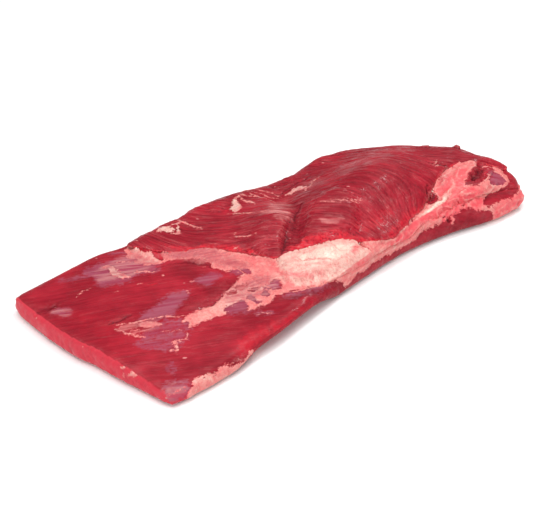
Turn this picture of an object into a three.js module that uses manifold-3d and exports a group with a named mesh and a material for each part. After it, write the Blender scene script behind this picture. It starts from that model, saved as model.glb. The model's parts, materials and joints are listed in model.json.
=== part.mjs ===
// A raw beef brisket lying fat-seam up on a table: the long thin flat muscle, the seam of hard fat over its thick
// end, and the domed point muscle on top of that fat. Millimetres, +Z up. +X runs from the thin cut end to the
// thick end, +Y to the back edge, and the origin is under the middle of the piece, at table level.
import * as THREE from "three";
import { mergeVertices } from "three/addons/utils/BufferGeometryUtils.js";
import Module from "manifold-3d";

const GAP = 0.4; // clearance between two layers that touch

// Each layer is a slab lofted from the cut end to the thick end, between the two edges that it shows from above.
// "Round" is the depth of the rounded rim, on the long sides, at the cut end and at the thick end.
const FLAT = {
  name: "flat_muscle",
  colour: 0xa8222f,
  roughness: 0.38,
  front: [[-239, -97], [-200, -101], [-160, -102], [-110, -102], [-60, -96], [10, -92], [88, -92], [145, -103],
    [204, -120], [252, -125]],
  back: [[-257, 115], [-200, 117], [-120, 114], [-50, 111], [10, 104], [60, 94], [104, 90], [146, 87], [184, 68],
    [218, 28], [244, -20], [257, -65], [262, -104]],
  stations: 34,
  rows: 9,
  sideRound: 9,
  endRound: [3, 9],
  endBow: [8, 3],
};

const SEAM = {
  name: "seam_fat",
  colour: 0xe88d85,
  roughness: 0.45,
  front: [[-124, 78], [-96, 28], [-82, -18], [-86, -52], [-70, -78], [-36, -87], [60, -88], [140, -91], [190, -99],
    [224, -109], [248, -117]],
  back: [[-128, 98], [-100, 107], [-50, 106], [10, 100], [60, 91], [104, 87], [144, 83], [180, 65], [213, 26],
    [240, -20], [255, -65], [260, -101]],
  stations: 30,
  rows: 8,
  sideRound: 5,
  endRound: [5, 6],
  endBow: [3, 2],
};

const POINT = {
  name: "point_muscle",
  colour: 0x9c1c2c,
  roughness: 0.36,
  front: [[-132, 96], [-112, 64], [-86, 41], [-64, 2], [-46, -34], [-30, -38], [-8, -49], [20, -66], [40, -81],
    [66, -89], [92, -84], [127, -77], [152, -67], [180, -57], [206, -58], [230, -74], [249, -98]],
  back: [[-130, 104], [-100, 109], [-50, 109], [10, 102], [60, 92], [104, 88], [146, 86], [184, 68], [217, 28],
    [244, -18], [257, -62], [260, -92]],
  stations: 38,
  rows: 13,
  sideRound: 13,
  endRound: [14, 10],
  endBow: [3, 2],
};

const RIM_STEPS = [0, 0.07, 0.28, 0.62, 1]; // where the rounded rim has its lines of points, as shares of its depth
const BURIED = 5; // how high inside the layer below the underside of a layer starts, before that layer is cut away

const smooth = (t) => {
  const c = Math.min(1, Math.max(0, t));
  return c * c * (3 - 2 * c);
};

// A soft oval swelling: 1 at its middle, fading to 0 well outside its half length and half width.
function swell(x, y, [atX, atY], [halfLength, halfWidth], turnDeg = 0) {
  const turn = THREE.MathUtils.degToRad(turnDeg);
  const along = ((x - atX) * Math.cos(turn) + (y - atY) * Math.sin(turn)) / halfLength;
  const across = ((y - atY) * Math.cos(turn) - (x - atX) * Math.sin(turn)) / halfWidth;
  return Math.exp(-(along * along + across * across));
}

// A fold that follows a line of points: 1 on the line, fading out at its half width and past its ends.
function fold(x, y, line, halfWidth) {
  let nearest = Infinity;
  for (let i = 1; i < line.length; i++) {
    const [ax, ay] = line[i - 1];
    const [dx, dy] = [line[i][0] - ax, line[i][1] - ay];
    const t = Math.min(1, Math.max(0, ((x - ax) * dx + (y - ay) * dy) / (dx * dx + dy * dy)));
    nearest = Math.min(nearest, Math.hypot(x - ax - t * dx, y - ay - t * dy));
  }
  return Math.exp(-((nearest / halfWidth) ** 2));
}

// The larger of two heights, blended where they are within a few millimetres of each other.
function softMax(a, b, blend) {
  return (a + b + Math.hypot(a - b, blend)) / 2;
}

// Height of the flat muscle's upper face: thin at the front corner of the cut end, fuller along its middle.
function flatRoof(x, y) {
  const fromCut = smooth((x + 250) / 120);
  const fromFront = smooth((y + 100) / 70);
  return (
    13 + 7 * fromCut + (7.5 - 3.5 * fromCut) * fromFront +
    1.5 * swell(x, y, [-250, 20], [60, 50]) +
    1.5 * swell(x, y, [-160, 10], [70, 40], -20) -
    2 * swell(x, y, [-110, 55], [60, 22], -25) -
    8 * smooth((y - 30) / 60) * smooth((x + 150) / 120) * smooth((200 - x) / 80) +
    6 * swell(x, y, [190, -100], [60, 30])
  );
}

// Height of the seam fat's upper face: a thin sheet on the left, the hard lump in front, and a thick bank at the end.
function seamRoof(x, y) {
  return (
    flatRoof(x, y) + 2.5 +
    4 * smooth((x + 70) / 90) * smooth((60 - y) / 80) +
    8 * swell(x, y, [-4, -68], [48, 19], -28) +
    4 * swell(x, y, [110, -80], [60, 18], 5) +
    18 * swell(x, y, [212, -72], [52, 36], -15)
  );
}

// Height of the point muscle's upper face: the low tongue on the left, the deep crease, then the dome.
function pointRoof(x, y) {
  const crease = [[-16, -24], [8, -4], [30, 24], [38, 50]];
  const dome =
    24 +
    13 * swell(x, y, [-14, 4], [66, 50], -35) +
    3 * swell(x, y, [-10, 104], [60, 30]) +
    34 * swell(x, y, [104, -22], [84, 56], -14) +
    17 * swell(x, y, [182, 4], [62, 62], 20) +
    19 * swell(x, y, [232, -48], [40, 44]);
  const overSeam = seamRoof(x, y) + 3 + 3 * smooth((x + 110) / 60);
  return softMax(dome, overSeam, 3) - 7 * fold(x, y, crease, 11);
}

// A point's share of the full thickness, from its distance to the rim.
function fullness(distance, depth) {
  const share = Math.min(1, distance / depth);
  return Math.sqrt(1 - (1 - share) ** 2);
}

// Shares of a length: the steps of the rounded rim at each end, and even steps between them.
function spread(length, inner, startDepth, endDepth) {
  const start = Math.min(startDepth / length, 0.4);
  const end = Math.min(endDepth / length, 0.4);
  const shares = RIM_STEPS.map((step) => step * start);
  for (let i = 1; i < inner; i++) shares.push(start + ((1 - start - end) * i) / inner);
  RIM_STEPS.toReversed().forEach((step) => shares.push(1 - step * end));
  return shares;
}

function edgeCurve(points) {
  const corners = points.map(([x, y]) => new THREE.Vector3(x, y, 0));
  return new THREE.CatmullRomCurve3(corners, false, "centripetal");
}

// A slab of meat with rounded sides. Its top and bottom are grids of points that share the rim.
function slab(shape, roof, rimHeight, floor) {
  const { stations, rows, sideRound, endRound, endBow } = shape;
  const front = edgeCurve(shape.front);
  const back = edgeCurve(shape.back);
  const length = (front.getLength() + back.getLength()) / 2;
  const shares = spread(length, stations, endRound[0], endRound[1]);
  const vertices = [];
  const top = [];
  const bottom = [];

  shares.forEach((along, station) => {
    const a = front.getPointAt(along);
    const b = back.getPointAt(along);
    const width = a.distanceTo(b);
    const across = spread(width, rows, sideRound, sideRound);
    const depth = Math.min(sideRound, 0.4 * width);
    const ends =
      fullness(along * length, endRound[0]) * fullness((1 - along) * length, endRound[1]);
    top.push([]);
    bottom.push([]);
    across.forEach((share, row) => {
      const middle = 4 * share * (1 - share);
      const bow = middle * (endBow[1] * smooth((along - 0.9) * 10) - endBow[0] * smooth((0.1 - along) * 10));
      const x = a.x + (b.x - a.x) * share + bow;
      const y = a.y + (b.y - a.y) * share;
      const full = ends * fullness(share * width, depth) * fullness((1 - share) * width, depth);
      const rim = rimHeight(x, y);
      top[station].push(vertices.length / 3);
      vertices.push(x, y, rim + (roof(x, y) - rim) * full);
      const onRim =
        station === 0 || station === shares.length - 1 || row === 0 || row === across.length - 1;
      bottom[station].push(onRim ? top[station][row] : vertices.length / 3);
      if (!onRim) vertices.push(x, y, rim + (floor - rim) * full);
    });
  });

  const faces = [];
  const quad = (a, b, c, d) => faces.push(a, b, c, a, c, d);
  const last = [shares.length - 1, top[0].length - 1];
  const rimRows = RIM_STEPS.length - 1;
  const inner = (i, end) => i >= rimRows && i < end - rimRows;
  for (let i = 0; i < last[0]; i++) {
    for (let j = 0; j < last[1]; j++) {
      quad(top[i][j], top[i + 1][j], top[i + 1][j + 1], top[i][j + 1]);
      if (!(inner(i, last[0]) && inner(j, last[1])))
        quad(bottom[i][j], bottom[i][j + 1], bottom[i + 1][j + 1], bottom[i + 1][j]);
    }
  }
  // The level part of the underside is one polygon, round its own rim.
  const [i0, i1, j0, j1] = [rimRows, last[0] - rimRows, rimRows, last[1] - rimRows];
  const loop = [];
  for (let i = i0; i < i1; i++) loop.push(bottom[i][j0]);
  for (let j = j0; j < j1; j++) loop.push(bottom[i1][j]);
  for (let i = i1; i > i0; i--) loop.push(bottom[i][j1]);
  for (let j = j1; j > j0; j--) loop.push(bottom[i0][j]);
  const plan = loop.map((i) => new THREE.Vector2(vertices[3 * i], vertices[3 * i + 1]));
  THREE.ShapeUtils.triangulateShape(plan, []).forEach(([a, b, c]) => faces.push(loop[a], loop[c], loop[b]));

  const geometry = new THREE.BufferGeometry();
  geometry.setAttribute("position", new THREE.Float32BufferAttribute(vertices, 3));
  geometry.setIndex(faces);
  return geometry;
}

// The same slab grown outwards, which cuts its own shape and the clearance out of the layer above it.
function grown(geometry, by) {
  const larger = geometry.clone();
  larger.computeVertexNormals();
  const { position, normal } = larger.attributes;
  for (let i = 0; i < position.count; i++) {
    position.setXYZ(
      i,
      position.getX(i) + by * normal.getX(i),
      position.getY(i) + by * normal.getY(i),
      position.getZ(i) + by * normal.getZ(i),
    );
  }
  larger.deleteAttribute("normal");
  return larger;
}

const wasm = await Module();
wasm.setup();

function toSolid(geometry) {
  const merged = mergeVertices(geometry, 1e-4);
  return new wasm.Manifold(
    new wasm.Mesh({
      numProp: 3,
      vertProperties: new Float32Array(merged.attributes.position.array),
      triVerts: new Uint32Array(merged.index.array),
    }),
  );
}

function toGeometry(solid) {
  const { vertProperties, triVerts } = solid.getMesh();
  const geometry = new THREE.BufferGeometry();
  geometry.setAttribute("position", new THREE.BufferAttribute(vertProperties, 3));
  geometry.setIndex(new THREE.BufferAttribute(triVerts, 1));
  geometry.computeVertexNormals();
  return geometry;
}

function layer({ name, colour, roughness }, solid) {
  const material = new THREE.MeshStandardMaterial({ color: colour, roughness, metalness: 0 });
  const mesh = new THREE.Mesh(toGeometry(solid), material);
  mesh.name = name;
  return mesh;
}

// How high the fullest line of a layer's side lies: low, because the meat's weight spreads it over what it lies on.
const flatRim = (x, y) => 0.25 * flatRoof(x, y);
const seamRim = (x, y) => flatRoof(x, y) + 0.3 * (seamRoof(x, y) - flatRoof(x, y));
const pointRim = (x, y) => seamRoof(x, y) + 0.25 * (pointRoof(x, y) - seamRoof(x, y));

const flatSlab = slab(FLAT, flatRoof, flatRim, 0);
const seamSlab = slab(SEAM, seamRoof, seamRim, BURIED);
const pointSlab = slab(POINT, pointRoof, pointRim, BURIED);
const flatCut = toSolid(grown(flatSlab, GAP));
const seamCut = toSolid(grown(seamSlab, GAP));

const brisket = new THREE.Group();
brisket.add(
  layer(FLAT, toSolid(flatSlab)),
  layer(SEAM, toSolid(seamSlab).subtract(flatCut)),
  layer(POINT, toSolid(pointSlab).subtract(flatCut.add(seamCut))),
);

const middle = new THREE.Box3().setFromObject(brisket).getCenter(new THREE.Vector3());
brisket.position.set(-middle.x, -middle.y, 0);

export default brisket;
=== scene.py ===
"""A raw whole beef brisket: the long flat muscle, the point muscle lying on it, and the fat between them.

Every layer starts as a copy of its CAD solid, is blocked out as one even skin, and is then worked like
clay: swells, clefts, fibres and fat are pushed into the mesh. Where each mark lies is written once, in
millimetres on the brisket's own plan, front and end, and the same marks tell the finishes where fat and
silverskin begin.
"""
import functools
import itertools
import json
import logging
import math
from dataclasses import dataclass, field, replace
from enum import Enum
from typing import Any, Callable, Optional

import bpy
import numpy as np
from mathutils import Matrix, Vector
from mathutils.bvhtree import BVHTree

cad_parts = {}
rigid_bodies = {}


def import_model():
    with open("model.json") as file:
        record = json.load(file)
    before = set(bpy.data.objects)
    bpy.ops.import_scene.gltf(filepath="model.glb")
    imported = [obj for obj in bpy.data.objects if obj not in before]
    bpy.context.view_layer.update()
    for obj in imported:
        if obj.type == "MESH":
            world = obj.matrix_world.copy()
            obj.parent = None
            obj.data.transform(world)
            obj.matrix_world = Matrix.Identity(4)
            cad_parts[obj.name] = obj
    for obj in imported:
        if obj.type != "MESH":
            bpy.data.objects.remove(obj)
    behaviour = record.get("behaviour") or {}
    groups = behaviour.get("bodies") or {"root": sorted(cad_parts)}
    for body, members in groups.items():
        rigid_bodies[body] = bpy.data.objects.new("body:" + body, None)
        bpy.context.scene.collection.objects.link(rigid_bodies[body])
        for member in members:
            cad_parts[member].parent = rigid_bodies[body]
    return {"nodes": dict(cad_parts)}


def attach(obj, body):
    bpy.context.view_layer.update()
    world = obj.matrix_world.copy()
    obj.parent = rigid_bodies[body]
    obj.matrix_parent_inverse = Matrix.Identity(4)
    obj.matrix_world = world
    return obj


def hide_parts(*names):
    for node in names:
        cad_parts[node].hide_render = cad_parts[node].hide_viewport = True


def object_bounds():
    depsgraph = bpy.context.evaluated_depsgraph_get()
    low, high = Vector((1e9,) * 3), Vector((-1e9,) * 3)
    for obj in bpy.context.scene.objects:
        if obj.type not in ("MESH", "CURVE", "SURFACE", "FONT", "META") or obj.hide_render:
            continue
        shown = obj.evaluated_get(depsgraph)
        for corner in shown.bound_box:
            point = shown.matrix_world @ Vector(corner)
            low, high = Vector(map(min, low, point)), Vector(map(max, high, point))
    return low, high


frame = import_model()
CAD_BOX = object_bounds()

Array = np.ndarray
Point = tuple[float, float]
Colour = tuple[float, ...]
Socket = bpy.types.NodeSocket
Give = Callable[[str, Socket], None]

LOG = logging.getLogger("brisket")
MM = 0.001
BODY = "root"
DRAWN_SIZE = (520.6, 241.9, 62.1)  # the box, in mm, that the marks below are placed in
BORDER_SEED = 5  # one seed for all layers, so that a mark's edge runs on across their borders


# ---------------------------------------------------------------- small mathematics


def smooth(share: Array) -> Array:
    """Eases 0 to 1.

    Args:
        share: Any values; below 0 counts as 0 and above 1 as 1.

    Returns:
        The eased values, from 0 to 1.
    """
    share = np.clip(share, 0.0, 1.0)
    return share * share * (3.0 - 2.0 * share)


def rounded(points: tuple[Point, ...], closed: bool, steps: int = 4) -> Array:
    """Runs a smooth curve through a few points.

    Args:
        points: The points, in order.
        closed: Whether the last point joins the first.
        steps: Stretches between two points.

    Returns:
        The points of the curve, one row each.
    """
    at = np.array(points, float)
    if closed:
        row = np.vstack([at[-1], at, at[:2]])
    else:
        row = np.vstack([2 * at[0] - at[1], at, 2 * at[-1] - at[-2]])
    curve = []
    for p, q, r, s in zip(row, row[1:], row[2:], row[3:]):
        for t in np.arange(steps) / steps:
            bend = (2 * p - 5 * q + 4 * r - s) * t**2 + (3 * q - p - 3 * r + s) * t**3
            curve.append(0.5 * (2 * q + (r - p) * t + bend))
    if not closed:
        curve.append(at[-1])
    return np.array(curve)


class Noise:
    """Smooth seeded noise, about -1 to 1, for whole arrays of places."""

    def __init__(self, seed: int) -> None:
        """Draws the lattice.

        Args:
            seed: The same seed gives the same noise each time.
        """
        draw = np.random.default_rng(seed)
        self.order = draw.permutation(256)
        slopes = draw.normal(size=(256, 3))
        self.slopes = slopes / np.linalg.norm(slopes, axis=1, keepdims=True)

    def __call__(self, places: Array, size: float | tuple[float, float, float]) -> Array:
        """Reads the noise.

        Args:
            places: One row of three numbers for each place.
            size: How far apart the lattice points are, for all axes or for each.

        Returns:
            One value for each place.
        """
        scaled = places / np.array(size, float)
        cell = np.floor(scaled).astype(np.int64)
        part = scaled - cell
        ease = part**3 * (part * (part * 6 - 15) + 10)
        total = np.zeros(len(places))
        for corner in itertools.product((0, 1), repeat=3):
            at = (cell + corner) & 255
            index = self.order[(self.order[(self.order[at[:, 0]] + at[:, 1]) & 255] + at[:, 2]) & 255]
            pull = ((part - corner) * self.slopes[index]).sum(1)
            total += np.prod(np.where(corner, ease, 1 - ease), axis=1) * pull
        return total * 1.6

    def layered(self, places: Array, size: float, octaves: int = 2, gain: float = 0.5) -> Array:
        """Noise with finer noise on it, each octave half as large and weaker by the gain."""
        return sum(self(places + 37.0 * k, size / 2**k) * gain**k for k in range(octaves))


# ---------------------------------------------------------------- marks on the meat


class View(Enum):
    """The side that a mark is drawn on: its axes, the way it faces, how squarely, and where it begins."""

    TOP = ((0, 1), (0, 0, 1), 0.30, -400.0)
    FRONT = ((0, 2), (0, -1, 0), 0.34, -400.0)
    END = ((1, 2), (-1, 0, 0), 0.40, 232.0)
    THROUGH = ((0, 1), (0, 0, 1), -9.0, -400.0)  # seen from the top, and right through to the underside

    @property
    def axes(self) -> list[int]:
        """The two axes of the drawing."""
        return list(self.value[0])

    def facing(self, normals: Array) -> Array:
        """How fully each place faces this side, from 0 to 1."""
        return smooth((normals @ np.array(self.value[1], float) - self.value[2] + 0.12) / 0.24)

    def reaches(self, places: Array) -> Array:
        """Whether each place lies far enough out on this side to be drawn on."""
        return places @ np.array(self.value[1], float) > self.value[3]


class Channel(Enum):
    """What a mark does to the meat, by the name of the attribute that a finish reads."""

    FAT = "fat_mm"
    SKIN = "skin_mm"
    LEAN = "lean_mm"
    CREAM = "cream"
    BLUSH = "blush"
    RAW = "raw"
    # dark blends towards the shadow colour: along creases, clefts and hollows it is painted shade,
    # elsewhere darker lean
    DARK = "dark"
    SILVER = "silver"
    CUT = "cut"
    SWELL = "swell"
    CLEFT = "cleft"
    LIFT = "lift"
    RUMPLE = "rumple"
    REACH = "reach"
    FORWARD = "forward"


EDGED = (Channel.FAT, Channel.SKIN, Channel.LEAN)
TONES = (Channel.CREAM, Channel.BLUSH, Channel.RAW, Channel.DARK, Channel.SILVER, Channel.CUT)
OUTSIDE = -30.0  # mm: further out than this a mark's edge no longer matters
THINNEST = 0.04  # the square of the share of its width that a streak keeps at its ends


@dataclass(frozen=True)
class Mark:
    """A patch, or a streak where it has a width, on one side of the meat.

    An edged channel takes its distance from the edge in millimetres. Any other takes its strength inside,
    which fades over soft.
    """

    channel: Channel
    outline: tuple[Point, ...]
    width: Optional[float] = None
    strength: float = 1.0
    soft: float = 4.0
    ragged: float = 1.5
    cap: float = 99.0  # mm: a small cap leaves a patch thin and broken
    view: View = View.TOP

    def patch(self, curve: Array, spot: Array) -> Array:
        """Measures a patch.

        Args:
            curve: Its closed edge.
            spot: Places on the drawing, one row each.

        Returns:
            How deep inside the edge each spot is, in mm; outside is negative.
        """
        distance = np.full(len(spot), 1e9)
        inside = np.zeros(len(spot), bool)
        for start, stop in zip(curve, np.roll(curve, -1, 0)):
            along = stop - start
            distance = np.minimum(distance, self.away(spot, start, along)[0])
            crosses = (start[1] > spot[:, 1]) != (stop[1] > spot[:, 1])
            slope = along[0] / along[1] if abs(along[1]) > 1e-9 else 0.0
            inside ^= crosses & (spot[:, 0] < start[0] + (spot[:, 1] - start[1]) * slope)
        return np.where(inside, distance, -distance)

    def streak(self, curve: Array, spot: Array) -> Array:
        """Measures a streak, which thins towards both ends.

        Args:
            curve: Its middle line.
            spot: Places on the drawing, one row each.

        Returns:
            How deep inside its edge each spot is, in mm; outside is negative.
        """
        distance = np.full(len(spot), 1e9)
        for number, (start, stop) in enumerate(zip(curve, curve[1:])):
            away, share = self.away(spot, start, stop - start)
            run = (number + share) / (len(curve) - 1)
            half = 0.5 * self.width * np.sqrt(np.clip(4 * run * (1 - run), THINNEST, 1))
            distance = np.minimum(distance, away - half)
        return -distance

    @staticmethod
    def away(spot: Array, start: Array, along: Array) -> tuple[Array, Array]:
        """How far each spot is from a stretch, and where along it the nearest place lies, from 0 to 1."""
        share = np.clip(((spot - start) @ along) / max(along @ along, 1e-9), 0, 1)
        return np.linalg.norm(spot - start - share[:, None] * along, axis=1), share

    def depth(self, places: Array, normals: Array, warp: Array) -> Array:
        """How deep inside the mark each place is.

        Args:
            places: Places in drawn millimetres, one row each.
            normals: The way the meat faces at each place.
            warp: A wandering offset of about a millimetre for each place, which frays the edge.

        Returns:
            Millimetres from the edge, positive inside.
        """
        flat = places[:, self.view.axes] + self.ragged * warp[:, self.view.axes]
        curve = rounded(self.outline, closed=self.width is None)
        reach = (self.width or 0.0) - OUTSIDE
        near = np.all((flat > curve.min(0) - reach) & (flat < curve.max(0) + reach), axis=1)
        near &= (self.view.facing(normals) > 0) & self.view.reaches(places)
        result = np.full(len(places), OUTSIDE)
        if near.any():
            found = (self.patch if self.width is None else self.streak)(curve, flat[near])
            fade = 12.0 * (1 - self.view.facing(normals[near]))
            result[near] = np.maximum(np.minimum(found, self.cap) - fade, OUTSIDE)
        return result


def brush(channel: Channel) -> Callable[..., Mark]:
    """Makes the function that draws one channel's marks.

    Args:
        channel: What the marks do to the meat.

    Returns:
        A function of the outline's points and the mark's own fields. Where the channel has no edge, its
        strength comes before the points.
    """

    def draw(*drawn: Any, **more: Any) -> Mark:
        """Draws one mark.

        Args:
            drawn: The strength, unless the channel is edged, and then the outline's points.
            more: The mark's other fields.

        Returns:
            The mark.
        """
        if channel in EDGED:
            return Mark(channel, drawn, **more)
        return Mark(channel, drawn[1:], strength=drawn[0], **more)

    return draw


def on(view: View, *marks: Mark) -> tuple[Mark, ...]:
    """The same marks, drawn on another side."""
    return tuple(replace(mark, view=view) for mark in marks)


BRUSHES = [brush(channel) for channel in Channel]
fat, skin, lean, cream, blush, raw, dark, silver, cut, swell, cleft, lift, rumple, reach, forward = BRUSHES

# The back edge is drawn in beside the tongue, on all three layers together.
BACK_EDGE: tuple[Mark, ...] = on(
    View.THROUGH,
    forward(5.5, (-158, 66), (-158, 300), (-45, 300), (-45, 66), soft=30, ragged=0),
    forward(4.5, (22, 50), (22, 300), (110, 300), (110, 50), soft=30, ragged=0),
)

# Fat that lies across the border of the flat and the seam is drawn on both.
BORDER_MARKS: tuple[Mark, ...] = (
    # the strip along the tongue of the point
    fat((-128, 84), (-121, 68), (-121, 58), (-108, 48), (-100, 33), (-97, 20), (-99, 9), (-93, -2),
        (-85, -13), (-81, -24), (-72, -32), (-46, -28), (-56, 0), (-70, 22), (-85, 42), (-100, 58),
        (-116, 76), ragged=2.2),
    # the cream net below it
    fat((-121, -33), (-112, -26), (-103, -25), (-96, -21), (-88, -18), (-80, -22), (-66, -28), (-60, -45),
        (-64, -62), (-72, -69), (-80, -67), (-89, -63), (-98, -67), (-106, -64), (-115, -64), (-121, -60),
        (-116, -55), (-116, -48), (-122, -45), (-130, -47), (-139, -51), (-138, -40), ragged=2.0),
    lean((-107, -29), (-100, -28), (-93, -31), (-95, -35), (-103, -36), (-108, -33), ragged=2.0),
    lean((-138, -46), (-128, -45), (-119, -49), (-116, -57), (-122, -60), (-132, -58), ragged=2.4),
    lean((-110, -48), (-104, -46), (-104, -51), (-106, -56), (-102, -61), (-108, -61), (-109, -55),
        ragged=1.4),
    lean((-96, -52), (-90, -50), (-87, -54), (-90, -59), (-95, -58), ragged=1.2),
    lean((-90, -45), (-82, -49), (-74, -48), (-70, -52), (-74, -59), (-80, -57), (-87, -51), ragged=1.4),
    lean((-120, -31), (-112, -31), (-109, -35), (-116, -36), ragged=1.6),
    lean((-101, -40), (-94, -40), (-92, -45), (-98, -45), ragged=1.4),
    lean((-90, -7), (-83, -10), (-78, -20), (-82, -24), (-88, -19), ragged=1.6),
    skin((-138, -45), (-118, -45), (-104, -44), (-90, -44), (-74, -47), (-70, -53), (-80, -60), (-104, -63),
        (-120, -62), (-136, -56)),
    skin((-92, -5), (-82, -8), (-76, -22), (-88, -22)),
    silver(1.0, (-120, 72), (-108, 56), (-96, 42), (-86, 18), (-80, 0), (-76, -16), width=28, soft=8,
        ragged=4),
    lean((-133, 98), (-127, 84), (-126, 72), (-124, 63), (-119, 72), (-118, 80), (-124, 92), ragged=1.0),
    raw(0.5, (-133, 98), (-127, 84), (-124, 63), (-117, 76), (-124, 92), soft=2),
    silver(1.0, (-126, -46), (-112, -40), (-92, -42), (-74, -52), width=34, soft=8, ragged=4),
    *BACK_EDGE,
    # lean showing dark and violet under the left of the lump
    lean((-84, -66), (-74, -69), (-62, -74.5), (-52, -78.5), (-42, -82), (-34, -84), (-28, -87),
        (-30, -100), (-60, -104), (-90, -100), (-96, -76), ragged=1.0),
    skin((-80, -68), (-66, -74), (-50, -78), (-38, -81), (-36, -85), (-56, -84), (-74, -77), ragged=2.6),
    dark(0.35, (-76, -72), (-56, -79), (-34, -84), (-34, -90), (-60, -88), (-78, -80)),
)

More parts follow.
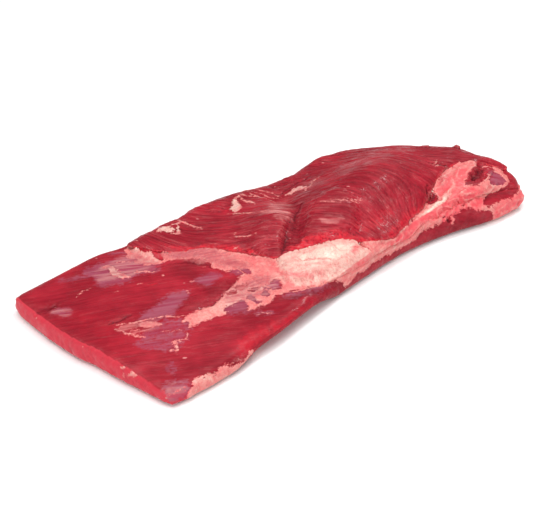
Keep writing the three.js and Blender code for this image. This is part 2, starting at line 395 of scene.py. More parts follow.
FLAT_MARKS: tuple[Mark, ...] = (
    # the cut end and its corners
    fat((-268, 126), (-256, 124), (-254, 116), (-259, 108), (-268, 108), ragged=1.6),
    blush(0.6, (-268, 126), (-254, 120), (-262, 106), width=12),
    # painted shade in the dent by the cut end
    cleft(1.6, (-258, 76), (-248, 75), (-235, 72), width=18, soft=8),
    dark(0.42, (-258, 76), (-246, 75), (-222, 71), width=12, soft=8),
    # a pale lens of silverskin on a small swell below the dent, partly a painted highlight
    skin((-248, 64), (-240, 66), (-234, 62), (-233, 55), (-239, 50), (-243, 56), ragged=1.0, cap=1.4),
    silver(0.7, (-250, 66), (-240, 68), (-231, 62), (-230, 53), (-239, 47), (-246, 54)),
    swell(1.4, (-250, 62), (-238, 60), width=26, soft=12),
    # silverskin and cream beside the tail of the point
    skin((-196, 66), (-190, 84), (-196, 98), (-180, 99), (-166, 97), (-152, 95), (-141, 94), (-139, 78),
        (-134, 66), (-127, 59), (-134, 53), (-142, 46), (-150, 50), (-160, 55), (-172, 52), (-183, 58),
        ragged=3.0),
    skin((-218, 104), (-205, 97), (-190, 87), width=3.4, ragged=2.0),
    skin((-156, 106), (-146, 102), (-138, 98), width=3.0),
    fat((-172, 93), (-166, 88), (-168, 78), (-165, 66), (-165, 58), (-171, 59), (-174, 65), (-177, 72),
        (-174, 80), ragged=2.6),
    fat((-158, 63), (-150, 54), (-141, 46), width=2.6, ragged=2.4),
    fat((-160, 90), (-152, 84), (-146, 78), width=2.0, ragged=3.0),
    fat((-146, 92), (-136, 106), (-126, 96), (-117, 76), (-112, 62), (-122, 58), (-131, 58), (-139, 63),
        (-144, 70), (-147, 76), (-141, 82), ragged=2.6),
    cream(0.35, (-146, 92), (-134, 100), (-120, 80), (-120, 60), (-136, 60), (-146, 74), soft=8),
    cream(0.9, (-170, 90), (-172, 60), width=12, soft=5),
    silver(1.0, (-196, 74), (-186, 92), (-160, 98), (-136, 100), (-128, 78), (-128, 56), (-150, 52),
        (-176, 60), soft=9, ragged=4),
    # darker and brighter ground
    dark(0.2, (-195, -64), (-183, -55), (-169, -50), (-155, -55), (-139, -66), (-138, -82), (-152, -89),
        (-169, -88), (-186, -80), soft=9, ragged=4),
    dark(0.22, (-141, 41), (-125, 47), (-110, 37), (-100, 17), (-102, 3), (-115, 0), (-132, 12), soft=9,
        ragged=4),
    # painted shade on the lean beside the fat band, which lies proud of it
    dark(0.24, (-131, -7), (-110, -7), (-95, -16), (-96, -28), (-120, -33), (-143, -29), soft=8, ragged=4),
    raw(0.22, (-246, 62), (-222, 56), (-204, 30), (-208, 0), (-234, -30), (-250, -40), (-252, 30), soft=24,
        ragged=6),
    # bare red and small flecks on the lean
    raw(0.75, (-170, 40), (-162, 37), (-155, 30), (-158, 26), (-166, 32), ragged=3),
    fat((-169, 41), (-165, 40), width=1.8),
    fat((-192, 47.5), (-189, 46.5), width=1.6, ragged=0.6),
    fat((-106, 18.5), (-104, 18), width=1.4, ragged=0.6),
    fat((-219, 69), (-215, 71), (-211, 73), width=1.3, ragged=1.0),
    fat((-208, 71), (-205, 71), width=1.2, ragged=1.0),
    fat((-145, 38), (-143, 34), width=1.2, ragged=1.0),
    fat((-131, 8), (-128, 7), width=1.0, ragged=0.6),
    # creases in the lean, with painted shade in and beside them
    cleft(1.3, (-226, 15), (-214, 11), (-202, 9), width=9),
    dark(0.6, (-226, 14), (-214, 11), (-200, 9), width=6, soft=5),
    dark(0.5, (-136, 13), (-131, 6), (-126, 3), width=5),
    cleft(0.8, (-150, 50), (-128, 50), (-112, 40), (-102, 22), (-100, 8), width=7, soft=3),
    dark(0.35, (-120, 48), (-108, 36), (-102, 20), width=14, soft=8),
    swell(1.2, (-150, 32), (-120, 28), width=44, soft=20),
    dark(0.3, (-200, 30), (-192, 16), (-180, 8), width=14, soft=8),
    dark(0.35, (-174, -24), (-150, -27), (-134, -30), (-118, -26), width=9, soft=8),
    # the violet bands
    skin((-178, 3), (-165, 5), (-150, 5), (-142, 2), (-142, -3), (-150, -8), (-160, -12), (-168, -15),
        (-176, -19), (-188, -15), (-199, -9), (-203, -1), (-190, 2), ragged=2.0),
    fat((-143, 0), (-144, -5), width=2.6, ragged=1.2),
    skin((-128, 6), (-114, 7), (-103, 3), (-101, -2), (-112, -6), (-120, -9), (-126, -5), ragged=2.2),
    skin((-201, -18), (-188, -20), (-176, -28), (-172, -36), (-178, -44), (-190, -52), (-204, -54),
        (-214, -46), (-222, -36), (-222, -26), (-212, -20), ragged=4.0, cap=1.0),
    fat((-221, 7), (-207, -2), (-193, -9), (-183, -15), (-174, -24), (-168, -27), width=1.9, ragged=1.0),
    fat((-225, 4), (-222, -5), (-219, -15), (-214, -24), width=1.8, ragged=1.2),
    fat((-223, 4), (-215, -5), (-205, -9), (-199, -8), (-195, -14), (-192, -22), (-204, -19), (-213, -20),
        (-219, -12), ragged=2.4, cap=-0.6),
    fat((-207, -8), (-201, -7), (-194, -17), (-192, -22), (-199, -20), (-205, -15), ragged=1.8),
    fat((-198, -30), (-190, -36), (-183, -40), width=1.2, ragged=2.0),
    fat((-206, -59), (-201, -53), (-199, -47), width=2.4, ragged=2.2),
    fat((-199, -46), (-191, -51), (-184, -47), (-180, -43), width=1.8, ragged=2.4),
    fat((-203, -53), (-208, -53), width=1.6, ragged=1.4),
    skin((-214, -66), (-222, -72), width=5.0, ragged=2.5, cap=0.4),
    silver(0.7, (-224, 2), (-206, -12), (-192, -18), width=22, soft=6),
    # the fat band that runs left out of the net
    fat((-177, -32), (-168, -29), (-160, -28.5), (-150, -31), (-138, -33.5), (-126, -32), (-112, -27),
        (-108, -40), (-118, -46), (-132, -50), (-140, -52.5), (-148, -50), (-158, -46.5), (-168, -44.5),
        (-176, -41), (-172, -36), ragged=1.6),
    cream(0.35, (-172, -36), (-140, -42), (-104, -40), (-80, -50), width=26, soft=10),
    swell(1.6, (-168, -18), (-136, -20), (-104, -14), width=26, soft=12),
    cleft(1.1, (-170, -29), (-150, -31), (-134, -33.5), (-118, -29), width=6, soft=3),
    swell(1.2, (-176, -66), (-150, -70), width=34, soft=16),
    skin((-120, -68), (-112, -74), (-104, -78), width=6.0, ragged=3.0, cap=0.4),
    fat((-120, -70), (-112, -75), (-107, -78), width=0.9, ragged=1.6),
    # the front edge
    skin((-241, -83), (-230, -82), (-221, -87), (-220, -94), (-232, -97), (-243, -96), ragged=2.0),
    fat((-238, -86), (-231, -89), (-224, -91), width=1.6, ragged=2.0),
    fat((-226, -99), (-221, -94), (-216, -90.5), (-212, -88), (-209, -91), (-203, -92), (-198, -95),
        (-192, -95.5), (-187, -93), (-180, -95), (-174, -97), (-165, -100), (-165, -106), (-226, -106),
        ragged=1.8),
    *on(
        View.FRONT,
        fat((-229, -2), (-226, 5), (-221, 10), (-212, 16), (-209, 13), (-201, 13.5), (-196, 11), (-187, 14),
            (-178, 13), (-172, 10.5), (-163, 9.5), (-150, 11), (-150, 7), (-165, 4.5), (-180, 2),
            (-195, -2), (-212, -2), ragged=1.8),
        skin((-244, 9), (-236, 13), (-226, 13), (-222, 9), (-230, 6), (-240, 5), ragged=1.6),
        cream(0.5, (-222, 14), (-206, 12), (-198, 8), width=7),
        # a painted highlight: a short pale streak where the front edge glints
        silver(0.9, (-174, 15), (-166, 11), (-160, 9), width=5, soft=3),
    ),
    # fat that hangs from the seam over the front of the flat, and the raw meat beside it
    blush(0.9, (130, -88), (160, -94), (200, -104), width=26, soft=6),
    blush(0.75, (210, -114), (264, -108), width=22, soft=6),
    raw(0.5, (-160, -84), (-132, -82), (-104, -88), (-76, -86), (-58, -92), (-70, -106), (-160, -106),
        soft=8, ragged=4),
    fat((140, -84), (140, -90), (152, -95.5), (163, -96.5), (172, -98.5), (178, -104), (186, -109),
        (196, -113), (196, -90), ragged=1.4),
    lean((189, -105), (196, -101), (206, -99), (244, -102), (244, -114), (236, -115), (222, -114),
        (206, -112), (196, -110), ragged=1.4),
    fat((252, -122), (268, -122), (268, -98), (256, -104), (244, -113), (220, -114), (205, -114),
        (200, -122)),
    *on(
        View.FRONT,
        fat((-26, 19), (-18, 16), (-15, 10), (-7, 10), (-1, 12), (6, 14), (13, 12), (22, 13), (40, 14),
            (60, 12.5), (80, 12), (96, 14), (106, 17), (122, 18), (138, 20), (152, 22.5), (166, 25),
            (174, 25.5), (179, 23.5), (183, 20.5), (190, 18.5), (196, 22), (192, 34), (100, 36), (-30, 32),
            ragged=0.9),
        blush(0.9, (120, 22), (160, 26), (198, 24), width=16, soft=6),
        blush(0.75, (196, 10), (230, 11), (268, 10), width=26, soft=6),
        fat((184, 25), (192, 20), (197, 13), (200, 6), (208, 1), (236, 0), (270, 0), (268, 16), (256, 20.5),
            (240, 21.5), (220, 22.5), (203, 24), ragged=2.0),
        raw(0.5, (-60, 14), (-84, 8), width=8, soft=5, ragged=3),
        raw(0.35, (-158, 10), (-128, 15), (-96, 15), (-52, 12), width=8, soft=5, ragged=3),
        dark(0.1, (-24, 6), (40, 6), (96, 5), (128, 8), (168, 12), (186, 14), width=16, soft=7),
        dark(0.3, (192, 24), (214, 23.5), (240, 22), width=3.5, soft=2),
        rumple(0.7, (200, 14), (230, 12), (262, 12), width=18, soft=6),
        # a notch with painted shade in it
        cleft(1.6, (141, 22), (144, 19), (143, 17), width=5, soft=2),
        dark(0.9, (140, 22), (143, 19), (142, 17), width=5, soft=2),
        fat((147, 24), (148.5, 20), (146.5, 15), width=3.4, ragged=1.0),
        fat((178, 26), (180, 22), width=3.4, ragged=1.0),
    ),
    # the underside rises towards the front edge along the middle, and the end bulges at one side
    lift(11.0, (-186, -104), (-156, -86), (-124, -76), (-80, -70), (-48, -72), (-20, -92), (-24, -140),
        (-176, -140), soft=26, ragged=0, view=View.THROUGH),
    # the sliced end, drawn out to the left, and the turned-up tip of fat
    rumple(0.35, (-110, -84), (-70, -86), (-40, -84), width=16, soft=6),
    cut(1.0, (-112, -4), (-108, 10), (-96, 13), (-82, 13.5), (-64, 16.5), (-48, 19), (-28, 22.5), (0, 23.5),
        (50, 23.5), (100, 24), (122, 22), (122, -4), soft=1.5, ragged=0.6, view=View.END),
    *on(
        View.THROUGH,
        reach(1.5, (-420, -300), (-420, 300), (-222, 300), (-222, -300), soft=38, ragged=0),
        reach(5.0, (-420, -8), (-420, 126), (-222, 126), (-222, -8), soft=38, ragged=0),
        forward(3.2, (-270, -240), (-270, -80), (-142, -80), (-142, -240), soft=36, ragged=0),
        lift(8.0, (238, -150), (300, -150), (300, -62), (260, -76), (246, -100), soft=14, ragged=0),
    ),
    # the near corner of the sliced end is pink, and its pale streak and brightest pink are a painted wet
    # highlight; pale flecks lie along the end
    cut(0.8, (-248, -84), (-236, -86), (-226, -90), (-222, -96), (-226, -108), (-252, -108), soft=3),
    silver(0.55, (-244, -84), (-232, -87), (-222, -91), width=14, soft=6, ragged=4),
    blush(1.0, (-244, -88), (-222, -92), width=16),
    *on(
        View.FRONT,
        cut(0.8, (-262, -4), (-262, 12), (-240, 13), (-228, 12), (-223, 4), (-222, -4), soft=3),
        blush(1.0, (-244, 8), (-224, 6), width=16),
    ),
    *on(
        View.END,
        fat((-54, 18), (-47, 15.5), width=3.2, ragged=2.0),
        fat((-42, 19), (-36, 16.5), width=3.0, ragged=2.0),
        fat((-42, 12), (-41, 10), width=2.0),
        raw(0.4, (24, 18), (30, 12), width=6),
    ),
    cleft(3.0, (-290, -76), (-262, -80), (-236, -92), (-222, -108), (-218, -150), (-290, -150), soft=16,
        view=View.THROUGH),
)

SEAM_MARKS: tuple[Mark, ...] = (
    swell(4.5, (-50, -28), (-40, -26), (-20, -36), (4, -48), (24, -60), (27, -74), (20, -82), (0, -84),
        (-22, -83), (-44, -76), (-60, -70), (-70, -62), (-68, -50), (-58, -38), soft=10),
    rumple(1.0, (140, -84), (170, -88), (206, -90), (236, -84), (250, -60), (236, -40), (206, -46),
        (180, -58), (150, -60), soft=8),
    cream(0.62, (-52, -26), (-20, -34), (2, -46), (22, -58), (28, -76), (26, -92), (-24, -92), (-40, -84),
        (-60, -76), (-68, -64), (-64, -46), soft=6),
    cream(1.05, (-38, -40), (-14, -48), (8, -58), (24, -66), (22, -80), (-6, -82), (-30, -72), (-46, -58),
        soft=10),
    cream(0.35, (-76, -44), (-56, -56), (-44, -66), width=30, soft=12),
    blush(0.55, (-84, -28), (-72, -38), (-56, -30), (-48, -28), width=9, soft=7),
    blush(0.4, (-52, 4), (-72, -20), width=16, soft=10),
    dark(0.25, (-92, 24), (-84, 4), (-74, -8), (-66, -18), width=16, soft=9),
    # painted shade in the crease along the lump's right end
    dark(1.0, (16, -58), (23, -64), (26, -74), (27, -83), width=5, soft=3),
    cleft(3.2, (16, -58), (23, -64), (26, -74), (28, -84), width=8),
    blush(0.8, (4, -78), (16, -76), (24, -80), width=12, soft=6),
    cleft(0.9, (-40, -42), (-36, -54), (-24, -64), (-12, -76), width=4, soft=2),
    cleft(0.8, (-2, -54), (-2, -64), (4, -74), width=4, soft=2),
    blush(0.5, (-40, -42), (-36, -54), (-24, -64), (-12, -76), width=5, soft=3),
    blush(0.6, (-56, -34), (-62, -50), (-50, -66), (-26, -80), width=14, soft=8),
    blush(0.7, (150, -74), (180, -74), (206, -70), width=34, soft=8),
    blush(1.0, (168, -88), (180, -92), (198, -96), width=12, soft=5),
    cream(0.7, (112, -79), (130, -77), (150, -71), (158, -67), width=6),
    cream(0.5, (176, -60), (190, -57), (204, -60), width=5),
    lean((134, -67), (142, -63), (152, -58), (156, -61), (152, -68), (146, -75), (139, -76), (134, -73),
        ragged=1.2),
    # a cleft with painted shade in it
    cleft(1.7, (139, -72), (149, -63), width=9, soft=5),
    dark(0.3, (139, -73), (149, -63), width=5),
    raw(0.9, (135, -69), (143, -74), (152, -66), width=4, soft=3),
    *on(
        View.FRONT,
        rumple(1.0, (34, 20), (60, 22), (90, 24), (130, 30), (170, 34), (210, 36), (236, 38), width=26,
            soft=8),
        blush(0.8, (0, 22), (14, 24), (27, 22), width=9),
        # painted shade in the crease at the lump's right end
        dark(0.6, (27, 26), (26, 19), width=4, soft=3),
        blush(1.0, (40, 24), (80, 22), (120, 27), (160, 31), (205, 36), width=26, soft=8),
    ),
    # the hollow at the thick end, with painted shade in it, its red lip and the glossy muscle beside it
    lean((184, -86), (192, -79), (210, -74), (228, -78), (236, -84), (226, -90), (214, -92), (198, -93),
        ragged=1.2),
    cleft(4.6, (193, -86), (208, -82.5), (224, -80), width=14, soft=7),
    dark(0.7, (190, -86), (206, -83), (226, -80), width=10, soft=5),
    raw(1.0, (202, -94), (214, -89), (230, -84), width=5, soft=3),
    swell(2.0, (204, -95), (216, -91), (232, -87), width=6, soft=3),
    lean((217, -57), (224, -66), (217, -75), (226, -77), (233, -80), (240, -85), (244, -92), (241, -101),
        (236, -107), (226, -106), (213, -102.5), (200, -103), (192, -107), (208, -114), (240, -118),
        (266, -110), (268, -60), (236, -50), ragged=1.8),
    lean((215, -95), (221, -90), (227, -87), (232, -91), (233, -98), (232, -104), (226, -105), (217, -103),
        (211, -99), ragged=1.6),
    skin((213, -96), (221, -89), (228, -86), (234, -91), (235, -98), (233, -106), (226, -107), (216, -105),
        (209, -99), ragged=1.6),
    cream(1.2, (184, -66), (180, -71), (172, -77), (163, -79), (153, -80), (143, -82), (131, -80),
        (118, -80), (108, -82), width=9),
    swell(2.2, (174, -76), (160, -79), (146, -81), (130, -80), width=10, soft=5),
    silver(0.4, (165, -65), (171, -57), (178, -53), (186, -52), (192, -55), (185, -63), (174, -69),
        (164, -69), soft=3),
    swell(1.8, (166, -64), (178, -55), (190, -56), (176, -67), soft=5),
    *on(
        View.FRONT,
        lean((190, 24), (200, 27), (212, 28.5), (222, 31), (232, 31.5), (238, 34), (246, 40), (264, 44),
            (264, 22), (246, 21), (230, 20.5), (208, 20), ragged=1.6),
        lean((211, 38), (213, 43), (226, 44), (232, 41), (224, 38), ragged=1.6),
        skin((211, 38), (213, 43), (226, 44), (232, 41), (224, 38), ragged=1.6),
        dark(0.5, (218, 30), (228, 28), width=7),
        raw(0.9, (161, 33), (165, 29), (166, 26), width=7, ragged=2.5),
        cleft(1.8, (162, 33), (166, 27), width=5, soft=3),
        raw(0.6, (185, 31), (190, 28), (195, 29), width=4, soft=3, ragged=2.5),
        cleft(1.2, (184, 31), (190, 27), (196, 29), width=4, soft=2),
        raw(0.5, (120, 28), (127, 27), width=3, soft=3, ragged=2.5),
        # the pale cream streak on this small swell is partly fat and partly a painted highlight
        cream(0.5, (166, 38), (176, 38), (186, 37), width=6),
        swell(1.8, (166, 37), (186, 38), width=10, soft=5),
    ),
)

POINT_MARKS: tuple[Mark, ...] = (
    # the crease between the tongue and the mound, with painted shade in it and on the mound's flank beside
    # it
    cleft(2.4, (-48, -30), (-32, -22), (-19, -12), (-6, -3), (15, 8), (31, 16), width=18, soft=9),
    dark(0.75, (-46, -29), (-33, -21), (-19, -12), (-6, -3), width=9, soft=6),
    dark(0.3, (-36, -30), (-14, -14), (10, 2), (34, 15), (52, 20), width=26, soft=13),
    swell(4.5, (-34, -38), (-24, -26), (-10, -16), (8, -6), (26, 5), (46, 10), (74, -2), (64, -40),
        (32, -62), (0, -50), (-20, -40), soft=15),
    swell(2.0, (-62, -16), (-50, -22), (-42, -16), (-28, -2), (-14, 6), (-20, 24), (-50, 14), soft=12),
    # raw red along the cut rim
    raw(1.0, (-112, 84), (-102, 62), (-89, 46), (-79, 33), (-70, 18), (-64, 3), (-62, -10), (-58, -22),
        (-48, -28), width=13, soft=5, ragged=2.5),
    raw(1.0, (-36, -36), (-30, -24), (-11, -28), (9, -38), (24, -48), (30, -62), (48, -80), (56, -90),
        (20, -80), (14, -62), (-8, -54), (-22, -42), soft=5, ragged=3.0),
    raw(0.75, (48, -78), (66, -80), (88, -78), (110, -75), (128, -70), width=13, soft=7, ragged=3),
    raw(0.5, (30, -52), (60, -62), (100, -60), width=26, soft=14, ragged=4),
    raw(0.5, (-28, 74), (-16, 78), width=12, soft=6, ragged=3),
    # pale membrane in the valley and thin cream lines
    silver(1.0, (-18, 45), (0, 42), (15, 57), (32, 55), (42, 44), (28, 22), (6, 4), (-12, 1), (-10, 22),
        (-14, 34), soft=11, ragged=5),
    silver(0.25, (24, 50), (48, 60), (80, 64), (104, 56), (92, 40), (60, 34), (36, 34), soft=12, ragged=5),
    silver(0.8, (14, -24), (28, -26), (37, -36), (34, -43), (24, -42), (14, -34), soft=6, ragged=3),
    silver(0.35, (34, -4), (50, -14), (72, -36), (62, -36), (40, -18), soft=5, ragged=2),
    silver(0.3, (88, -50), (96, -60), width=16, soft=8, ragged=4),
    fat((-17, 64), (-19, 71), (-12, 78), (-2, 86), (0, 82), (-3, 74), (-10, 66), ragged=2.0),
    fat((9, 91), (7, 82), (8, 70), (6, 62), width=2.6, ragged=2.0),
    fat((0, 86), (8, 89), width=2.2, ragged=1.6),
    fat((-26, 69), (-18, 56), (-11, 44), width=2.0, ragged=1.4),
    fat((24, 90), (23, 80), (24, 68), width=1.8, ragged=1.6),
    fat((13, 92), (16, 82), width=1.6, ragged=1.6),
    fat((20, 95), (32, 99), (44, 96), width=5.0, ragged=2.0),
    fat((-70, 106), (-68, 92), (-65, 80), (-64, 68), width=2.4, ragged=1.6),
    fat((-91, 90), (-86, 84), (-82, 90), (-76, 98), width=3.0, ragged=2.2),
    fat((-57, 27), (-49, 17), (-41, 9), width=1.8, ragged=1.2),
    fat((-53, 30), (-51, 29), width=1.6, ragged=0.8),
    fat((-68, 15), (-64, 12), width=1.2, ragged=1.0),
    fat((45, 57), (54, 60), (62, 60), (70, 52), (68, 45), (60, 46), (54, 52), ragged=3.2),
    fat((68, 42), (76, 50), (83, 52), (92, 50), (99, 53), width=2.4, ragged=2.6),
    fat((56, 37), (66, 44), (76, 46), width=1.8, ragged=2.4),
    fat((52, -20), (62, -30), (70, -36), width=1.0, ragged=0.8),
    fat((44, -14), (56, -28), (64, -36), width=0.8, ragged=0.8),
    fat((36, -8), (48, -24), width=0.7, ragged=0.8),
    cream(0.7, (-20, 66), (0, 90), width=22, soft=8),
    cream(0.6, (-96, 104), (-74, 88), width=26, soft=8),
    cream(0.4, (48, 58), (96, 50), width=22, soft=8),
    blush(0.7, (62, 30), (112, 32), width=14, soft=6, view=View.FRONT),
    # the cleft beside the thick end, with painted shade in it
    cleft(1.7, (136, -70), (144, -64), (152, -58), width=9, soft=5),
    dark(0.4, (138, -69), (146, -62), width=7),
    raw(0.7, (124, -76), (132, -70), width=7),
    # the thick end: torn, knobbly lean
    # a crack with painted shade in it
    dark(0.45, (176, -36), (188, -46), (196, -52), width=8, soft=5, ragged=3),
    cleft(1.6, (176, -32), (188, -42), (194, -50), width=5, soft=3, ragged=2),
    fat((182, -38), (188, -40), (192, -37), width=2.0, ragged=2.0),
    fat((184, -46), (187, -44), width=2.6, ragged=2.0),
    dark(0.4, (226, -34), (238, -50), (244, -66), width=16, soft=8, ragged=3),
    dark(0.35, (60, 74), (100, 72), (128, 60), width=16, soft=10),
    cleft(1.6, (44, 64), (70, 68), (100, 66), width=10, soft=5),
    swell(2.2, (-36, 84), (-12, 92), (20, 90), width=26, soft=13),
    cleft(4.0, (50, 84), (61, 84), (74, 82), width=26, soft=10),
    swell(3.0, (118, 82), (134, 84), (150, 80), width=30, soft=14),
    fat((10, 90), (14, 88), (19, 78), (25, 66), (27, 52), (28, 44), width=1.5, ragged=1.2),
    fat((26, 92), (30, 80), (31, 66), (37, 60), width=1.3, ragged=1.2),
    fat((35, 90), (38, 79), (40, 67), (40, 57), width=1.3, ragged=1.2),
    fat((-11, 44), (-2, 35), (3, 32), width=1.6, ragged=1.2),
    fat((-98, 104), (-92, 107), (-86, 103), (-84, 96), (-88, 92), (-94, 96), ragged=2.2),
    fat((-86, 103), (-78, 101), (-70, 99), (-64, 93), width=2.2, ragged=1.4),
    swell(3.4, (233, -31), (238, -26), (243, -32), (237, -37), soft=3, ragged=2),
    blush(1.0, (235, -31), (243, -32), width=8, soft=3),
    fat((236, -30), (242, -33), width=2.4),
    swell(2.4, (200, 2), (210, -6), (219, -11), width=10, soft=5, ragged=3),
    cleft(3.0, (232, -70), (246, -88), (258, -100), width=34, soft=16),
    *BACK_EDGE,
)


# ---------------------------------------------------------------- clay


@dataclass(frozen=True)
class Board:
    """Turns places in the frame into the drawn millimetres that the marks use."""

    low: tuple[float, float, float]
    high: tuple[float, float, float]

    def drawn(self, places: Array) -> Array:
        """Places in drawn millimetres, from the middle of the box and up from its floor.

        Args:
            places: Places in metres in the frame, one row each.

        Returns:
            The same places in drawn millimetres.
        """
        low, high = np.array(self.low), np.array(self.high)
        middle = np.array([(low[0] + high[0]) / 2, (low[1] + high[1]) / 2, low[2]])
        return (places - middle) / (high - low) * np.array(DRAWN_SIZE)


class Clay:
    """A piece's vertices as arrays, so that whole regions can be pushed about."""

    def __init__(self, piece: bpy.types.Object, board: Board) -> None:
        """Reads a piece.

        Args:
            piece: A mesh object at the origin.
            board: The drawing's frame.
        """
        self.piece = piece
        self.board = board
        self.read()

    @staticmethod
    def rows(source: Any, name: str, count: int, across: int, kind: type = np.float32) -> Array:
        """Reads numbers from a mesh.

        Args:
            source: The mesh's vertices, edges or normals.
            name: What is read.
            count: How many elements there are.
            across: How many numbers each has.
            kind: What sort of numbers they are.

        Returns:
            One row for each element.
        """
        flat = np.empty(count * across, kind)
        source.foreach_get(name, flat)
        return flat.reshape(-1, across)

    def read(self) -> None:
        """Takes places, normals and edges from the mesh."""
        mesh = self.piece.data
        count = len(mesh.vertices)
        self.places = self.rows(mesh.vertices, "co", count, 3).astype(float)
        self.normals = self.rows(mesh.vertex_normals, "vector", count, 3).astype(float)
        self.ends = self.rows(mesh.edges, "vertices", len(mesh.edges), 2, np.int32)
        self.links = np.bincount(self.ends.ravel(), minlength=count).astype(float)
        self.drawn = self.board.drawn(self.places)

    def write(self) -> None:
        """Puts the places back into the mesh and reads the new normals."""
        self.piece.data.vertices.foreach_set("co", self.places.astype(np.float32).ravel())
        self.piece.data.update()
        self.read()

    def spread(self, values: Array, rounds: int) -> Array:
        """Evens values out along the mesh.

        Args:
            values: One value for each vertex.
            rounds: How many edges far they are evened out.

        Returns:
            The evened values.
        """
        first, second = self.ends.T
        count = len(self.places)
        for _ in range(rounds):
            total = np.bincount(first, values[second], count) + np.bincount(second, values[first], count)
            values = 0.5 * values + 0.5 * total / self.links
        return values

    def hollows(self, rounds: int) -> Array:
        """How far each vertex lies below its surroundings, in mm; ridges are negative."""
        even = np.stack([self.spread(axis, rounds) for axis in self.places.T], axis=1)
        return ((even - self.places) * self.normals).sum(1) / MM

    def move(self, millimetres: Array) -> None:
        """Pushes each vertex along its normal, outwards where positive."""
        self.places += self.normals * (millimetres * MM)[:, None]

    def store(self, name: str, values: Array) -> None:
        """Keeps values as an attribute of the mesh.

        Args:
            name: The attribute's name.
            values: One value, or one row of three, for each vertex.
        """
        kind, key = ("FLOAT", "value") if values.ndim == 1 else ("FLOAT_VECTOR", "vector")
        attribute = self.piece.data.attributes.new(name, kind, "POINT")
        attribute.data.foreach_set(key, values.astype(np.float32).ravel())


def only(piece: bpy.types.Object) -> None:
    """Selects one object alone and makes it the active one.

    Args:
        piece: The object.
    """
    for other in bpy.context.view_layer.objects:
        other.select_set(False)
    piece.select_set(True)
    bpy.context.view_layer.objects.active = piece


def apply_modifier(piece: bpy.types.Object, kind: str, **settings: Any) -> None:
    """Adds a modifier and applies it.

    Args:
        piece: The object that gets it.
        kind: The modifier's type.
        settings: The modifier's own properties.
    """
    only(piece)
    modifier = piece.modifiers.new(kind.title(), kind)
    for name, value in settings.items():
        setattr(modifier, name, value)
    bpy.ops.object.modifier_apply(modifier=modifier.name)


def subdivide_faces(piece: bpy.types.Object, chosen: Array, cuts: int) -> None:
    """Cuts the chosen faces, and a ring around them, more finely.

    Args:
        piece: The object that is cut.
        chosen: Whether each face is chosen.
        cuts: Cuts in each edge.
    """
    only(piece)
    bpy.ops.object.mode_set(mode="EDIT")
    bpy.ops.mesh.select_mode(type="FACE")
    bpy.ops.mesh.select_all(action="DESELECT")
    bpy.ops.object.mode_set(mode="OBJECT")
    piece.data.polygons.foreach_set("select", chosen)
    bpy.ops.object.mode_set(mode="EDIT")
    bpy.ops.mesh.select_more()
    bpy.ops.mesh.subdivide(number_cuts=cuts)
    bpy.ops.object.mode_set(mode="OBJECT")


def tree_of(nodes: tuple[str, ...]) -> Optional[BVHTree]:
    """Makes a search tree of some CAD nodes' faces.

    Args:
        nodes: The nodes' names.

    Returns:
        The tree, or None for no nodes.
    """
    corners: list[Vector] = []
    faces: list[tuple[int, ...]] = []
    for name in nodes:
        mesh = frame["nodes"][name].data
        faces += [tuple(len(corners) + index for index in face.vertices) for face in mesh.polygons]
        corners += [vertex.co.copy() for vertex in mesh.vertices]
    return BVHTree.FromPolygons(corners, faces) if faces else None


def gaps(tree: Optional[BVHTree], places: Array, furthest: float) -> Array:
    """Measures how far each place is from a tree.

    Args:
        tree: The search tree; without one, every place counts as furthest away.
        places: Places in metres, one row each.
        furthest: The distance beyond which it isn't measured.

    Returns:
        The distances in metres.
    """
    if tree is None:
        return np.full(len(places), furthest)
    found = (tree.find_nearest(Vector(place), furthest)[3] for place in places)
    return np.array([furthest if distance is None else distance for distance in found])


# ---------------------------------------------------------------- grain

FLAT_FIBRES = math.radians(-31)  # the way the flat's fibres run, from the long side


def flat_grain(places: Array) -> Array:
    """Fibre coordinates of the flat, whose fibres run straight.

    Args:
        places: Drawn places, one row each.

    Returns:
        Millimetres along the fibres, across them and up.
    """
    along = places[:, 0] * math.cos(FLAT_FIBRES) + places[:, 1] * math.sin(FLAT_FIBRES)
    across = -places[:, 0] * math.sin(FLAT_FIBRES) + places[:, 1] * math.cos(FLAT_FIBRES)
    return np.stack([along, across, places[:, 2]], axis=1)


def point_grain(places: Array) -> Array:
    """Fibre coordinates of the point: shallow arcs in the tongue, and a sweep down over the mound's front.

    Args:
        places: Drawn places, one row each.

    Returns:
        Millimetres along the fibres, across them and up.
    """
    along = (places[:, 0] - places[:, 1]) / math.sqrt(2)
    across = (places[:, 0] + places[:, 1]) / math.sqrt(2)
    tongue = -((along + 62.0) ** 2) / 240.0
    low_side = 1 - smooth((across + 2.0) / 74.0)
    drop = (26.0 + 62.0 * low_side) * smooth((along - 46.0) / 120.0)
    mound = smooth((along + 26.0) / 40.0)
    return np.stack([along, across + (1 - mound) * tongue + mound * drop, places[:, 2]], axis=1)


# ---------------------------------------------------------------- shader graphs


